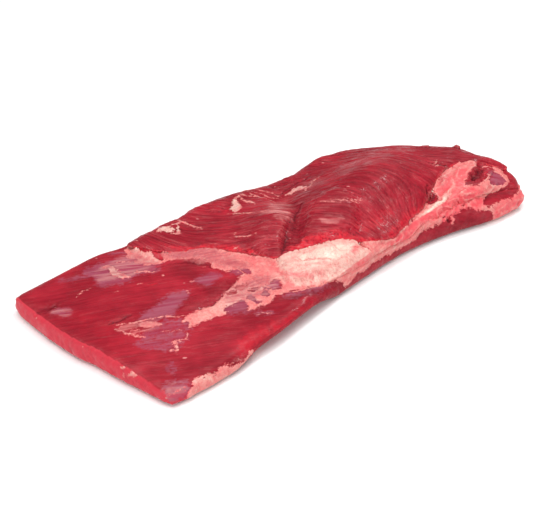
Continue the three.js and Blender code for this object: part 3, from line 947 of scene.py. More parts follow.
class Graph:
    """Adds nodes to one tree, and links them as they are added."""

    def __init__(self, tree: bpy.types.NodeTree) -> None:
        """Starts with the tree's own nodes removed."""
        self.tree = tree
        tree.nodes.clear()

    def fill(self, node: bpy.types.Node, inputs: dict[Any, Any]) -> bpy.types.Node:
        """Links or sets a node's inputs.

        Args:
            node: The node.
            inputs: A value or an output socket for each input, by name or number.

        Returns:
            The same node.
        """
        for key, value in inputs.items():
            if isinstance(value, Socket):
                self.tree.links.new(value, node.inputs[key])
            else:
                node.inputs[key].default_value = value
        return node

    def add(self, kind: str, inputs: Optional[dict[Any, Any]] = None, **settings: Any) -> bpy.types.Node:
        """Adds a node.

        Args:
            kind: The node's type name without its ShaderNode beginning.
            inputs: A value or an output socket for each input, by name or number.
            settings: The node's own properties.

        Returns:
            The new node.
        """
        node = self.tree.nodes.new("ShaderNode" + kind)
        column, row = divmod(len(self.tree.nodes), 6)
        node.location = (180.0 * column, -220.0 * row)
        for name, value in settings.items():
            setattr(node, name, value)
        return self.fill(node, inputs or {})

    def math(self, operation: str, first: Any, second: Any = 0.0, clamp: bool = False) -> Socket:
        """One sum of two numbers."""
        return self.add("Math", {0: first, 1: second}, operation=operation, use_clamp=clamp).outputs[0]

    def times(self, first: Any, second: Any, clamp: bool = False) -> Socket:
        """One number times another."""
        return self.math("MULTIPLY", first, second, clamp)

    def plus(self, first: Any, second: Any, clamp: bool = False) -> Socket:
        """One number added to another."""
        return self.math("ADD", first, second, clamp)

    def minus(self, first: Any, second: Any) -> Socket:
        """One number less another."""
        return self.math("SUBTRACT", first, second)

    def without(self, value: Socket, share: float) -> Socket:
        """What is left of 1 when a share of the value is taken away."""
        return self.minus(1.0, self.times(value, share))

    def weigh(self, *parts: tuple[Socket, float]) -> Socket:
        """The sum of several numbers, each times its weight."""
        return functools.reduce(self.plus, [self.times(value, weight) for value, weight in parts])

    def step(self, value: Any, low: Any, high: Any, to: tuple[float, float] = (0.0, 1.0)) -> Socket:
        """Eases from one end of to, where value is low, to the other, where it is high."""
        inputs = {"Value": value, "From Min": low, "From Max": high, "To Min": to[0], "To Max": to[1]}
        return self.add("MapRange", inputs, interpolation_type="SMOOTHSTEP").outputs[0]

    def blend(self, share: Any, first: Any, second: Any) -> Socket:
        """Mixes two colours."""
        return self.add("Mix", {0: share, 6: first, 7: second}, data_type="RGBA").outputs[2]

    def blend_number(self, share: Any, first: Any, second: Any) -> Socket:
        """Mixes two numbers."""
        return self.add("Mix", {0: share, 2: first, 3: second}, data_type="FLOAT").outputs[0]

    def noise(self, place: Any, scale: float, detail: float = 3.0, rough: float = 0.6) -> Socket:
        """Noise from 0 to 1 at a place."""
        inputs = {"Vector": place, "Scale": scale, "Detail": detail, "Roughness": rough}
        return self.add("TexNoise", inputs).outputs["Fac"]

    def swing(self, noise: Socket) -> Socket:
        """Noise moved down to swing about 0."""
        return self.minus(noise, 0.5)

    def lines(self, noise: Socket, wide: float, sharp: float) -> Socket:
        """Thin wandering lines, where noise passes through its middle."""
        return self.step(self.math("ABSOLUTE", self.swing(noise)), wide, sharp)

    def stretch(self, place: Any, x: float, y: float, z: float) -> Socket:
        """A place with each axis scaled."""
        return self.add("VectorMath", {0: place, 1: (x, y, z)}, operation="MULTIPLY").outputs[0]

    def attribute(self, name: str) -> bpy.types.Node:
        """The node that reads one of the mesh's attributes."""
        return self.add("Attribute", attribute_name=name)


class Kind(Enum):
    """What a node group's socket carries."""

    NUMBER = "NodeSocketFloat"
    COLOUR = "NodeSocketColor"
    PLACE = "NodeSocketVector"

    def sockets(self, *names: str) -> dict[str, str]:
        """The socket type for each of these names."""
        return dict.fromkeys(names, self.value)


@dataclass(frozen=True)
class Effect:
    """A shader effect that several finishes share: a node group with named sockets."""

    name: str
    takes: dict[str, str]
    gives: dict[str, str]
    build: Callable[[Graph, Any, Give], None]

    def group(self) -> bpy.types.NodeTree:
        """The node group, made the first time it is asked for.

        Returns:
            The group's tree.
        """
        found = bpy.data.node_groups.get(self.name)
        if found is not None:
            return found
        tree = bpy.data.node_groups.new(self.name, "ShaderNodeTree")
        for way, sockets in (("INPUT", self.takes), ("OUTPUT", self.gives)):
            for name, kind in sockets.items():
                tree.interface.new_socket(name, in_out=way, socket_type=kind)
        graph = Graph(tree)
        entry = tree.nodes.new("NodeGroupInput")
        leave = tree.nodes.new("NodeGroupOutput")
        self.build(graph, entry.outputs, lambda name, socket: tree.links.new(socket, leave.inputs[name]))
        return tree

    def use(self, graph: Graph, **inputs: Any) -> Any:
        """Places the group in a finish.

        Args:
            graph: The finish's graph.
            inputs: A value or socket for each of the group's inputs.

        Returns:
            The group's outputs.
        """
        node = graph.tree.nodes.new("ShaderNodeGroup")
        node.node_tree = self.group()
        return graph.fill(node, inputs).outputs


def build_edge(graph: Graph, takes: Any, give: Give) -> None:
    """Turns a distance from an edge into a mask with a torn edge, feathered along the grain.

    Args:
        graph: The group's graph.
        takes: The group's inputs, by name.
        give: Links a socket to one of the group's outputs.
    """
    coarse = graph.swing(graph.noise(takes["Place"], 300.0))
    fine = graph.swing(graph.noise(takes["Place"], 1100.0, 2.0))
    streak = graph.swing(graph.noise(graph.stretch(takes["Grain"], 0.10, 0.72, 0.3), 1.0))
    shift = graph.weigh((coarse, 4.6), (fine, 2.4), (streak, 5.0))
    torn = graph.plus(takes["Distance"], graph.times(shift, takes["Fray"]))
    give("Mask", graph.step(torn, graph.times(takes["Softness"], -1.0), takes["Softness"]))


def build_fibres(graph: Graph, takes: Any, give: Give) -> None:
    """Bundles, strands and threads of muscle along the grain, with pale sinew and dark gaps between them.

    Args:
        graph: The group's graph.
        takes: The group's inputs, by name.
        give: Links a socket to one of the group's outputs.
    """
    def along(x: float, y: float, z: float, detail: float = 3.0, rough: float = 0.6) -> Socket:
        """Noise drawn out along the grain."""
        return graph.noise(graph.stretch(takes["Grain"], x, y, z), 1.0, detail, rough)

    bundles = along(0.018, 0.24, 0.10, rough=0.55)
    strands = along(0.040, 0.80, 0.30)
    threads = along(0.100, 2.40, 0.80, detail=2.0)
    gap_line = graph.lines(along(0.026, 0.50, 0.17), 0.028, 0.004)
    gap = graph.times(gap_line, graph.step(along(0.05, 0.16, 0.12, 1.0, 0.5), 0.46, 0.60))
    sinew_line = graph.lines(along(0.016, 0.46, 0.12, rough=0.65), 0.026, 0.003)
    sinew_runs = graph.step(along(0.035, 0.13, 0.1, 2.0, 0.5), 0.47, 0.60)
    tone = graph.weigh((bundles, 0.35), (strands, 0.40), (threads, 0.25))
    give("Height", graph.weigh((bundles, 0.45), (strands, 0.36), (threads, 0.19), (gap, -0.20)))
    give("Gap", gap)
    give("Tone", graph.step(tone, 0.38, 0.62))
    give("Sinew", graph.times(sinew_line, sinew_runs))
    give("Veil", graph.step(along(0.022, 0.26, 0.15, detail=4.0), 0.36, 0.62))


def build_fat(graph: Graph, takes: Any, give: Give) -> None:
    """Fat: lobes from pink to cream, with red vessels, translucent spots and fine wrinkles.

    Args:
        graph: The group's graph.
        takes: The group's inputs, by name.
        give: Links a socket to one of the group's outputs.
    """
    place = takes["Place"]
    lobes = graph.noise(place, 170.0, rough=0.55)
    grains = graph.noise(place, 800.0)
    flow = graph.add("VectorMath", {0: place, 1: (61.0, 17.0, 5.0)}, operation="ADD").outputs[0]
    veins = graph.noise(flow, 110.0, 4.0, 0.7)
    vessels = graph.times(graph.lines(veins, 0.022, 0.002), takes["Vessels"])
    wrinkles = graph.lines(graph.noise(graph.stretch(flow, 1.0, 1.0, 2.2), 150.0), 0.030, 0.002)
    creamy = graph.plus(takes["Cream"], graph.times(graph.swing(lobes), 1.5), clamp=True)
    blushing = graph.plus(takes["Blush"], graph.times(graph.swing(veins), 1.6), clamp=True)
    plain = graph.without(takes["Cream"], 0.75)
    mottling = graph.times(graph.step(grains, 0.60, 0.42, (0.0, 0.24)), plain)
    tissue = graph.blend(creamy, takes["Pink"], takes["Pale"])
    tissue = graph.blend(blushing, tissue, takes["Flush"])
    tissue = graph.blend(mottling, tissue, takes["Flush"])
    tissue = graph.blend(graph.times(wrinkles, 0.20), tissue, takes["Vein"])
    give("Color", graph.blend(graph.times(vessels, 0.5), tissue, takes["Vein"]))
    give("Height", graph.weigh((lobes, 0.9), (graph.times(grains, plain), 0.4), (wrinkles, -0.35)))


def build_wet(graph: Graph, takes: Any, give: Give) -> None:
    """The wet film: where it is smooth and where it has dried back.

    Args:
        graph: The group's graph.
        takes: The group's inputs, by name.
        give: Links a socket to one of the group's outputs.
    """
    pools = graph.noise(takes["Place"], 70.0, rough=0.55)
    beads = graph.noise(takes["Place"], 420.0, 2.0, 0.5)
    film = graph.step(graph.plus(pools, graph.times(beads, 0.35)), 0.63, 0.80)
    give("Roughness", graph.plus(takes["Dry"], graph.times(film, graph.minus(takes["Wet"], takes["Dry"]))))
    give("Film", film)


def build_flecks_and_glints(graph: Graph, takes: Any, give: Give) -> None:
    """Small pale flecks drawn out along the grain, partly marbling specks and partly painted wet glints,
    each cell of the pattern holding one at most.

    Args:
        graph: The group's graph.
        takes: The group's inputs, by name.
        give: Links a socket to one of the group's outputs.
    """
    cells = {"Vector": graph.stretch(takes["Grain"], 0.05, 0.115, 0.1), "Scale": 1.0, "Randomness": 1.0}
    spots = graph.add("TexVoronoi", cells)
    chosen = graph.add("SeparateColor", {"Color": spots.outputs["Color"]})
    size = graph.step(chosen.outputs[0], 0.55, 1.0, (0.0, 0.115))
    give("Mask", graph.step(graph.minus(size, spots.outputs["Distance"]), 0.0, 0.03))


EDGE = Effect(
    "Torn edge",
    Kind.NUMBER.sockets("Distance", "Fray", "Softness") | Kind.PLACE.sockets("Place", "Grain"),
    Kind.NUMBER.sockets("Mask"),
    build_edge,
)
FIBRES = Effect(
    "Muscle fibres",
    Kind.PLACE.sockets("Grain"),
    Kind.NUMBER.sockets("Height", "Tone", "Sinew", "Gap", "Veil"),
    build_fibres,
)
FAT = Effect(
    "Fat tissue",
    Kind.PLACE.sockets("Place")
    | Kind.NUMBER.sockets("Cream", "Blush", "Vessels")
    | Kind.COLOUR.sockets("Pink", "Pale", "Flush", "Vein"),
    Kind.COLOUR.sockets("Color") | Kind.NUMBER.sockets("Height"),
    build_fat,
)
WET = Effect(
    "Wet film",
    Kind.PLACE.sockets("Place") | Kind.NUMBER.sockets("Wet", "Dry"),
    Kind.NUMBER.sockets("Roughness", "Film"),
    build_wet,
)
FLECKS_AND_GLINTS = Effect("Pale flecks and painted glints", Kind.PLACE.sockets("Grain"), Kind.NUMBER.sockets("Mask"), build_flecks_and_glints)

FAT_EDGE = {"Fray": 1.15, "Softness": 0.6}  # how far a patch is torn at its edge, and how softly it ends
SKIN_EDGE = {"Fray": 2.6, "Softness": 3.2}
FILM = {"Wet": 0.28, "Dry": 0.42}  # roughness in the wet film and where it has dried
DARK_SHARE = 0.72  # how strongly dark marks shade
MOST_SHADE = 0.72  # the darkest that a hollow gets
VESSELS = 0.8
READ_BY_NAME = ("fat_mm", "skin_mm", "hollow") + tuple(tone.value for tone in TONES)


def colour(red: int, green: int, blue: int) -> Colour:
    """A screen colour, 0 to 255, as the linear colour that a shader takes.

    Args:
        red: Red.
        green: Green.
        blue: Blue.

    Returns:
        The four linear numbers.
    """
    shares = [value / 255 for value in (red, green, blue)]
    linear = [share / 12.92 if share <= 0.04045 else ((share + 0.055) / 1.055) ** 2.4 for share in shares]
    return (*linear, 1.0)


@dataclass(frozen=True)
class MeatFinish:
    """The finish of one layer. All layers share its make-up, so that colour runs on over their borders."""

    name: str
    deep: Colour = colour(128, 12, 30)
    bright: Colour = colour(174, 34, 50)
    raw: Colour = colour(206, 30, 48)
    cut_face: Colour = colour(208, 56, 72)
    shadow: Colour = colour(66, 6, 16)
    sinew: Colour = colour(214, 132, 130)
    membrane: Colour = colour(152, 72, 96)
    gauze: Colour = colour(176, 112, 117)
    dusk: Colour = colour(178, 84, 92)
    fat_pink: Colour = colour(218, 126, 122)
    fat_pale: Colour = colour(230, 206, 190)
    fat_flush: Colour = colour(226, 86, 94)
    vein: Colour = colour(186, 52, 62)
    fibre_bump: float = 0.55
    bump_height: float = 1.4 * MM
    sinew_share: float = 0.30
    gap_share: float = 0.42
    tone_share: float = 0.55
    coat: float = 0.17

    def lean_colour(
        self, graph: Graph, place: Socket, read: dict[str, Socket], fibres: Any, flecks: Any
    ) -> Socket:
        """The muscle's colour before silverskin and fat lie on it.

        Args:
            graph: The finish's graph.
            place: Where on the meat.
            read: The mesh's attributes, by name.
            fibres: What the fibres' group puts out.
            flecks: What the flecks' group puts out: pale flecks, partly painted wet glints.

        Returns:
            The colour.
        """
        blotch = graph.noise(place, 26.0, rough=0.5)
        blotches = graph.step(blotch, 0.35, 0.68, (0.0, 1.02 - self.tone_share))
        light = graph.plus(graph.times(fibres["Tone"], self.tone_share), blotches, clamp=True)
        raw_patches = graph.step(graph.noise(place, 115.0), 0.34, 0.62, (0.40, 1.0))
        sinew_seen = graph.plus(graph.times(read["silver"], 0.75), self.sinew_share)
        muscle = graph.blend(light, self.deep, self.bright)
        for share, over in (
            (graph.times(read["cut"], 0.85), self.cut_face),
            (graph.times(read["raw"], raw_patches, clamp=True), self.raw),
            (graph.times(fibres["Gap"], self.gap_share), self.shadow),
            (graph.times(fibres["Sinew"], sinew_seen, clamp=True), self.sinew),
            (graph.times(read["silver"], graph.times(fibres["Veil"], 0.75), clamp=True), self.sinew),
            # pale flecks, partly marbling specks and partly painted wet glints
            (graph.times(flecks["Mask"], 0.85), self.sinew),
        ):
            muscle = graph.blend(share, muscle, over)
        return muscle

    def material(self) -> bpy.types.Material:
        """Builds the material.

        Returns:
            The material, ready for a piece.
        """
        made = bpy.data.materials.new(self.name)
        made.use_nodes = True
        graph = Graph(made.node_tree)
        place = graph.add("TexCoord").outputs["Object"]
        grain = graph.attribute("grain").outputs["Vector"]
        read = {name: graph.attribute(name).outputs["Fac"] for name in READ_BY_NAME}
        fat_mask = EDGE.use(graph, Distance=read["fat_mm"], Place=place, Grain=grain, **FAT_EDGE)["Mask"]
        skin_mask = EDGE.use(graph, Distance=read["skin_mm"], Place=place, Grain=grain, **SKIN_EDGE)["Mask"]
        fibres = FIBRES.use(graph, Grain=grain)
        flecks = FLECKS_AND_GLINTS.use(graph, Grain=grain)
        hues = {"Pink": self.fat_pink, "Pale": self.fat_pale, "Flush": self.fat_flush, "Vein": self.vein}
        flush = {"Cream": read["cream"], "Blush": read["blush"]}
        tissue = FAT.use(graph, Place=place, Vessels=VESSELS, **flush, **hues)
        wet = WET.use(graph, Place=place, **FILM)

        gauzy = graph.times(fibres["Veil"], graph.plus(read["silver"], 0.30), clamp=True)
        membrane = graph.blend(gauzy, self.membrane, self.gauze)
        streaks = graph.plus(graph.weigh((fibres["Tone"], 0.26), (fibres["Veil"], 0.22)), 0.42, clamp=True)
        muscle = self.lean_colour(graph, place, read, fibres, flecks)
        muscle = graph.blend(graph.times(skin_mask, streaks), muscle, membrane)
        dusk = graph.times(read["silver"], graph.step(fibres["Veil"], 0.0, 1.0, (0.42, 0.88)), clamp=True)
        surface = graph.blend(fat_mask, muscle, graph.blend(dusk, tissue["Color"], self.dusk))

        # painted shade: hollows of the mesh and the dark marks are darkened towards the shadow colour, a
        # vein red on fat
        painted_hollow_shade = graph.times(read["hollow"], graph.blend_number(fat_mask, 0.85, 0.45))
        painted_hollow_shade = graph.math("MAXIMUM", painted_hollow_shade, 0.0)
        shade = graph.plus(graph.times(read["dark"], DARK_SHARE), painted_hollow_shade, clamp=True)
        shadow = graph.blend(graph.times(fat_mask, 0.7), self.shadow, self.vein)
        surface = graph.blend(graph.math("MINIMUM", shade, MOST_SHADE), surface, shadow)
        # painted highlight: ridges of the mesh are lightened towards pale fat, mostly on fat
        proud = graph.math("MAXIMUM", graph.times(read["hollow"], -1.0), 0.0)
        raised = graph.times(proud, graph.blend_number(fat_mask, 0.05, 0.40), clamp=True)
        surface = graph.blend(raised, surface, self.fat_pale)

        kept = graph.times(graph.without(skin_mask, 0.6), graph.without(read["cut"], 0.75))
        height = graph.blend_number(fat_mask, graph.times(fibres["Height"], kept), tissue["Height"])
        relief = {"Strength": self.fibre_bump, "Distance": self.bump_height, "Height": height}
        bump = graph.add("Bump", relief)
        shader = graph.add("BsdfPrincipled", {
            "Base Color": surface,
            "Roughness": wet["Roughness"],
            "Normal": bump.outputs["Normal"],
            "IOR": 1.40,
            "Specular IOR Level": 0.16,
            "Subsurface Weight": 0.10,
            "Subsurface Radius": (0.0026, 0.0007, 0.0005),
            "Subsurface Scale": 1.0,
            "Coat Weight": graph.times(wet["Film"], self.coat),
            "Coat Roughness": 0.12,
            "Coat IOR": 1.38,
        })
        graph.add("OutputMaterial", {"Surface": shader.outputs["BSDF"]})
        return made


# ---------------------------------------------------------------- the layers

DOUBLES = 0.01 * MM  # vertices nearer than this are one
BED_REACH = 20 * MM  # how far from the layer above its bed is measured
BED_EDGE = 1.2 * MM  # how far from it a vertex still belongs to the bed
BORDER_REACH = 8.0  # mm: how far across a border fat and lean can spread
APART = -9.0  # mm: a spread that never crosses its border
BURIED = 5.0  # mm: how deep a layer may lie inside the one above and still be pushed out
BUNDLE = (38.0, 5.2, 14.0)  # mm along the fibres, across them and up
STRAND = (20.0, 2.4, 8.0)
FOLD = (19.0, 13.0, 10.0)  # mm of length, breadth and height


@dataclass
class Layer:
    """One layer of the brisket, worked from its CAD solid."""

    node: str
    piece: str
    slot: str
    voxel: float  # mm
    cuts: int
    covers: tuple[str, ...]
    marks: tuple[Mark, ...]
    finish: MeatFinish
    grain: Callable[[Array], Array]
    evenings: int = 12
    pocket_fill: float = 4.2  # mm: how far the pocket under the layer above is filled up
    least_cover: float = 5.5  # mm of the layer above that stays over the filled pocket
    seed: int = 1
    undulation: float = 0.7
    ridges: float = 0.28
    rim_rough: float = 0.5
    # relief sets how strongly the painted shade darkens hollows and the painted highlight lightens ridges
    relief: float = 2.2  # how strongly hollows darken
    rim_swell: float = 0.0  # mm: how far the rim bulges out over the layer below
    fat_everywhere: float = OUTSIDE  # mm inside fat before any mark
    rests_on: tuple[str, ...] = ()
    fillet: float = 0.0  # mm: how far from the layer above this one runs up to meet it
    most_rise: float = 5.0  # mm: the highest step that is filled in that way
    fat_beside: float = APART  # mm: how far fat from the layer above spreads over this one
    lean_beside: float = APART  # mm: how far lean from the layer above spreads over this one
    fat_from_below: float = APART  # mm: how far fat from the layer below climbs this one's rim
    lean_from_below: float = APART  # mm: how far lean from the layer below climbs this one's rim
    rim_raw: float = 0.0  # mm: how high up the rim the meat is raw red
    values: dict[Channel, Array] = field(default_factory=dict)
    clearance: Array = field(default_factory=lambda: np.zeros(0))  # mm from the nearer neighbouring layer
    cover_gap: Array = field(default_factory=lambda: np.zeros(0))  # mm from the layer above

    def block_out(self) -> bpy.types.Object:
        """Copies the CAD solid, merges it, and skins it evenly.

        Returns:
            The blocked-out piece.
        """
        piece = bpy.data.objects.new(self.piece, frame["nodes"][self.node].data.copy())
        piece.data.name = self.piece
        piece.data.materials.clear()
        bpy.context.scene.collection.objects.link(piece)
        only(piece)
        bpy.ops.object.mode_set(mode="EDIT")
        bpy.ops.mesh.select_all(action="SELECT")
        bpy.ops.mesh.remove_doubles(threshold=DOUBLES)
        bpy.ops.object.mode_set(mode="OBJECT")
        apply_modifier(piece, "REMESH", mode="VOXEL", voxel_size=self.voxel * MM, adaptivity=0.0)
        apply_modifier(piece, "SMOOTH", factor=0.5, iterations=self.evenings)
        return piece

    def fill_pocket(self, clay: Clay, above: Optional[BVHTree]) -> Array:
        """Raises the bed that the layer above lies in, so that no groove shows along its rim.

        Args:
            clay: The blocked-out piece.
            above: The CAD solids that lie on this one.

        Returns:
            How far each vertex is from those solids, in metres, at most 20 mm.
        """
        distance = gaps(above, clay.places, BED_REACH)
        if above is None:
            return distance
        room = np.zeros(len(distance))
        start = Vector((0, 0, 1.5 * MM))
        for index in np.flatnonzero((distance < 1.0 * MM) & (clay.normals[:, 2] > -0.2)):
            thickness = above.ray_cast(Vector(clay.places[index]) + start, Vector((0, 0, 1)), 50 * MM)[3]
            room[index] = 0.0 if thickness is None else thickness + start.z
        raised = np.minimum(self.pocket_fill * MM, np.maximum(0.0, room - self.least_cover * MM))
        clay.places[:, 2] += (distance < BED_EDGE) * clay.spread(raised, 1)
        clay.write()
        return distance

    def refine(self, clay: Clay, distance: Array) -> None:
        """Cuts the faces that show more finely.

        Args:
            clay: The piece.
            distance: How far each vertex is from the layer above, in metres.
        """
        mesh = clay.piece.data
        shown = (distance > 1.3 * MM) & (clay.normals[:, 2] > -0.25) & (clay.drawn[:, 2] > 1.0)
        chosen = np.array([bool(shown[list(face.vertices)].all()) for face in mesh.polygons])
        subdivide_faces(clay.piece, chosen, self.cuts)
        apply_modifier(clay.piece, "SMOOTH", factor=0.5, iterations=3)
        clay.read()

    def deepen(self, channel: Channel, values: Array) -> None:
        """Raises a channel to these values where they are higher."""
        self.values[channel] = np.maximum(self.values[channel], values)

    def draw(self, clay: Clay, warp: Array) -> None:
        """Works out every channel at every vertex from the layer's marks.

        Args:
            clay: The piece.
            warp: The offset that frays each mark's edge.
        """
        count = len(clay.places)
        self.values = {channel: np.full(count, OUTSIDE if channel in EDGED else 0.0) for channel in Channel}
        self.deepen(Channel.FAT, np.full(count, self.fat_everywhere))
        for mark in self.marks:
            depth = mark.depth(clay.drawn, clay.normals, warp)
            if mark.channel in EDGED:
                self.deepen(mark.channel, depth)
            else:
                self.deepen(mark.channel, mark.strength * smooth(depth / mark.soft))

    def hidden_sides(self, clay: Clay, noise: Noise) -> None:
        """Draws fat and membrane where no mark reaches: the underside.

        Args:
            clay: The piece.
            noise: The layer's own noise.
        """
        away = 60.0 * (1 - smooth((-clay.normals[:, 2] - 0.5) / 0.3))
        smear = 18.0 * noise.layered(clay.drawn * (1.0, 2.6, 1.0), 110.0, 5, 0.62) - 6.0
        veil = 18.0 * noise.layered(clay.drawn * (1.0, 2.2, 1.0) + 200.0, 90.0, 4, 0.6) - 3.0
        self.deepen(Channel.FAT, smear - away)
        self.deepen(Channel.SKIN, veil - away)

    def fray_borders(self, clay: Clay, noise: Noise, above: Optional[BVHTree]) -> None:
        """Lets fat and lean run raggedly over the borders with the layers above and below.

        Args:
            clay: The piece.
            noise: The noise that all layers share.
            above: The finished layer above.
        """
        ragged = 1.8 * noise.layered(clay.drawn + 71.0, 6.0, 3)
        over = gaps(above, clay.places, BORDER_REACH * MM) / MM
        under = gaps(tree_of(self.rests_on), clay.places, BORDER_REACH * MM) / MM
        self.clearance = np.minimum(over, under)
        self.cover_gap = over

        def spread(depth: float, gap: Array) -> Array:
            """How deep inside what spreads over a border each vertex is, in mm."""
            return np.where(gap < BORDER_REACH, depth - gap + ragged, OUTSIDE)

        self.deepen(Channel.FAT, spread(self.fat_beside, over))
        self.deepen(Channel.FAT, spread(self.fat_from_below, under))
        for depth, gap in ((self.lean_beside, over), (self.lean_from_below, under)):
            bare = spread(depth, gap)
            self.values[Channel.FAT] = np.minimum(self.values[Channel.FAT], -bare)
            self.deepen(Channel.RAW, 0.9 * smooth((bare + 1.0) / 2.0))
        self.values[Channel.FAT] = np.minimum(self.values[Channel.FAT], -self.values[Channel.LEAN])
        rim = smooth((self.rim_raw - under) / 4.0) * smooth((0.75 - np.abs(clay.normals[:, 2])) / 0.3)
        patchy = smooth(0.5 + 1.3 * noise.layered(clay.drawn + 83.0, 14.0, 2))
        self.deepen(Channel.RAW, 0.9 * rim * patchy)

    def sculpt(self, clay: Clay, noise: Noise) -> None:
        """Pushes the marks, the fibres and the unevenness of real meat into the mesh.

        Args:
            clay: The piece.
            noise: The layer's own noise.
        """
        value, drawn, up = self.values, clay.drawn, clay.normals[:, 2]
        shown = smooth((drawn[:, 2] - 0.6) / 4.0)
        fat_share = smooth((value[Channel.FAT] + 0.4) / 1.4)
        skin_share = smooth((value[Channel.SKIN] + 1.0) / 3.0)
        grain = self.grain(drawn)
        bundles = 1.6 * np.abs(noise(grain, BUNDLE)) + 0.7 * noise(grain + 91.0, STRAND)
        bare = (1 - fat_share) * (1 - 0.7 * skin_share)
        fibres = self.ridges * bundles * bare * (0.4 + 0.6 * smooth(up * 1.5))
        uneven = self.undulation * (noise(drawn, 42.0) + 0.35 * noise(drawn + 11.0, 15.0))
        calm = 1 - 0.6 * np.clip(value[Channel.CREAM], 0, 1)
        lobes = fat_share * (0.6 + calm * (0.5 * noise(drawn + 5.0, 8.0) + 0.35 * noise(drawn + 8.0, 3.6)))
        folds = 0.5 - 1.3 * np.abs(noise(drawn + 13.0, FOLD)) + 0.25 * noise(drawn + 17.0, 7.0)
        rumpled = value[Channel.RUMPLE] * 2.6 * folds
        rough = noise(drawn + 21.0, 9.0) + 0.4 * noise(drawn + 33.0, 4.0)
        rim = self.rim_rough * (1 - np.abs(up)) * rough
        bulge = self.rim_swell * (1 - smooth(np.abs(up) * 1.4))
        torn = value[Channel.RAW] * (0.4 * noise(drawn + 55.0, 5.0) + 0.18 * noise(drawn + 66.0, 2.6))
        shape = value[Channel.SWELL] - value[Channel.CLEFT]
        clay.move(shown * (fibres + uneven + lobes + rumpled + rim + bulge + torn + shape))
        clay.places[:, 2] += value[Channel.LIFT] * MM * np.clip(1.0 - drawn[:, 2] / 22.0, 0.0, 1.0)
        clay.places[:, 0] -= value[Channel.REACH] * MM
        clay.places[:, 1] -= value[Channel.FORWARD] * MM
        clay.write()

    def rise(self, place: Vector, normal: Vector, above: BVHTree) -> float:
        """Measures how far one place has to rise to meet the layer above.

        Args:
            place: The place, in metres.
            normal: The way the meat faces there.
            above: The layer above.

        Returns:
            Millimetres along the normal, 0 where there is nothing to meet.
        """
        roof, facing, _, height = above.ray_cast(place, normal, BURIED * MM)
        if roof is not None and facing.dot(normal) < 0:
            return height / MM + 0.5
        touch, _, _, distance = above.find_nearest(place, self.fillet * MM)
        if touch is None:
            return 0.0
        inward = touch - place
        inward -= inward.dot(normal) * normal
        if inward.length < 0.1 * MM:
            return 0.0
        probe = touch + inward.normalized() * (2.5 * MM) + normal * (12 * MM)
        hit = above.ray_cast(probe, -normal, 24 * MM)[0]
        if hit is None:
            return 0.0
        step = min(max((hit - place).dot(normal), 0.0), self.most_rise * MM)
        share = 1 - distance / (self.fillet * MM)
        return step / MM * share * share * (3 - 2 * share)

    def meet(self, clay: Clay, above: Optional[BVHTree]) -> None:
        """Runs this layer up to the one above, so that no groove shows along that one's rim.

        Args:
            clay: The piece.
            above: The finished layer above.
        """
        if above is None:
            return
        risen = np.zeros(len(clay.places))
        for index in np.flatnonzero((clay.normals[:, 2] > -0.4) & (self.cover_gap < self.fillet)):
            risen[index] = self.rise(Vector(clay.places[index]), Vector(clay.normals[index]), above)
        clay.move(np.maximum(risen, clay.spread(risen, 2)))
        clay.write()

    def store(self, clay: Clay, grain: Array) -> None:
        """Keeps what the finish reads.

        Args:
            clay: The piece.
            grain: Its fibre coordinates.
        """
        for channel in (Channel.FAT, Channel.SKIN, *TONES):
            clay.store(channel.value, self.values[channel])
        clay.store("grain", grain)
        away = smooth((self.clearance - 1.0) / 3.0)
        # hollow: how far each vertex lies below its surroundings; the finish paints shade into hollows and
        # light onto ridges from it
        clay.store("hollow", away * (self.relief * clay.hollows(3) + 0.4 * self.relief * clay.hollows(14)))

    def build(self, board: Board, upper: Optional[bpy.types.Object]) -> bpy.types.Object:
        """Makes the whole layer.

        Args:
            board: The drawing's frame.
            upper: The finished layer that lies on this one, if any.

        Returns:
            The finished piece, riding on the brisket's body.
        """
        noise, shared = Noise(self.seed), Noise(BORDER_SEED)
        piece = self.block_out()
        clay = Clay(piece, board)
        distance = self.fill_pocket(clay, tree_of(self.covers))
        self.refine(clay, distance)
        offsets = [shared.layered(clay.drawn + 40.0 * axis, 10.0, 4, 0.72) for axis in range(3)]
        warp = np.stack(offsets, axis=1)
        above = None
        if upper is not None:
            above = BVHTree.FromObject(upper, bpy.context.evaluated_depsgraph_get())
        self.draw(clay, warp)
        self.hidden_sides(clay, noise)
        self.fray_borders(clay, shared, above)
        grain = self.grain(clay.drawn)
        self.sculpt(clay, noise)
        self.meet(clay, above)
        self.store(clay, grain)
        only(piece)
        bpy.ops.object.shade_smooth()
        piece.data.materials.append(self.finish.material())
        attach(piece, BODY)
        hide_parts(self.node)
        triangles = sum(len(face.vertices) - 2 for face in piece.data.polygons)
        LOG.info("%s: %d triangles", self.piece, triangles)
        return piece


def flat_muscle() -> Layer:
    """The long flat muscle at the bottom.

    Returns:
        The layer.
    """
    return Layer(
        node="flat_muscle", piece="flat_muscle_meat", slot="lean_flat", covers=("seam_fat",),
        finish=MeatFinish("Flat lean", fibre_bump=0.32, sinew_share=0.12, gap_share=0.20, tone_share=0.46),
        marks=FLAT_MARKS + BORDER_MARKS, grain=flat_grain, seed=11, voxel=2.4, cuts=1,
        undulation=0.55, ridges=0.09, relief=1.2, rim_rough=0.8, fillet=7.0, fat_beside=2.0,
    )


def seam_fat() -> Layer:
    """The seam of fat, which swells into a lump in front of the point.

    Returns:
        The layer.
    """
    return Layer(
        node="seam_fat", piece="seam_fat_layer", slot="seam_fat", covers=("point_muscle",),
        rests_on=("flat_muscle",), finish=MeatFinish("Seam fat", fibre_bump=0.36, sinew_share=0.2),
        marks=SEAM_MARKS + BORDER_MARKS, grain=flat_grain, seed=23, voxel=2.1, cuts=2,
        undulation=0.6, ridges=0.25, relief=1.9, rim_rough=0.9, rim_swell=1.4, fat_everywhere=12.0,
        fillet=4.5, most_rise=2.6, lean_beside=1.0, lean_from_below=-3.0,
    )


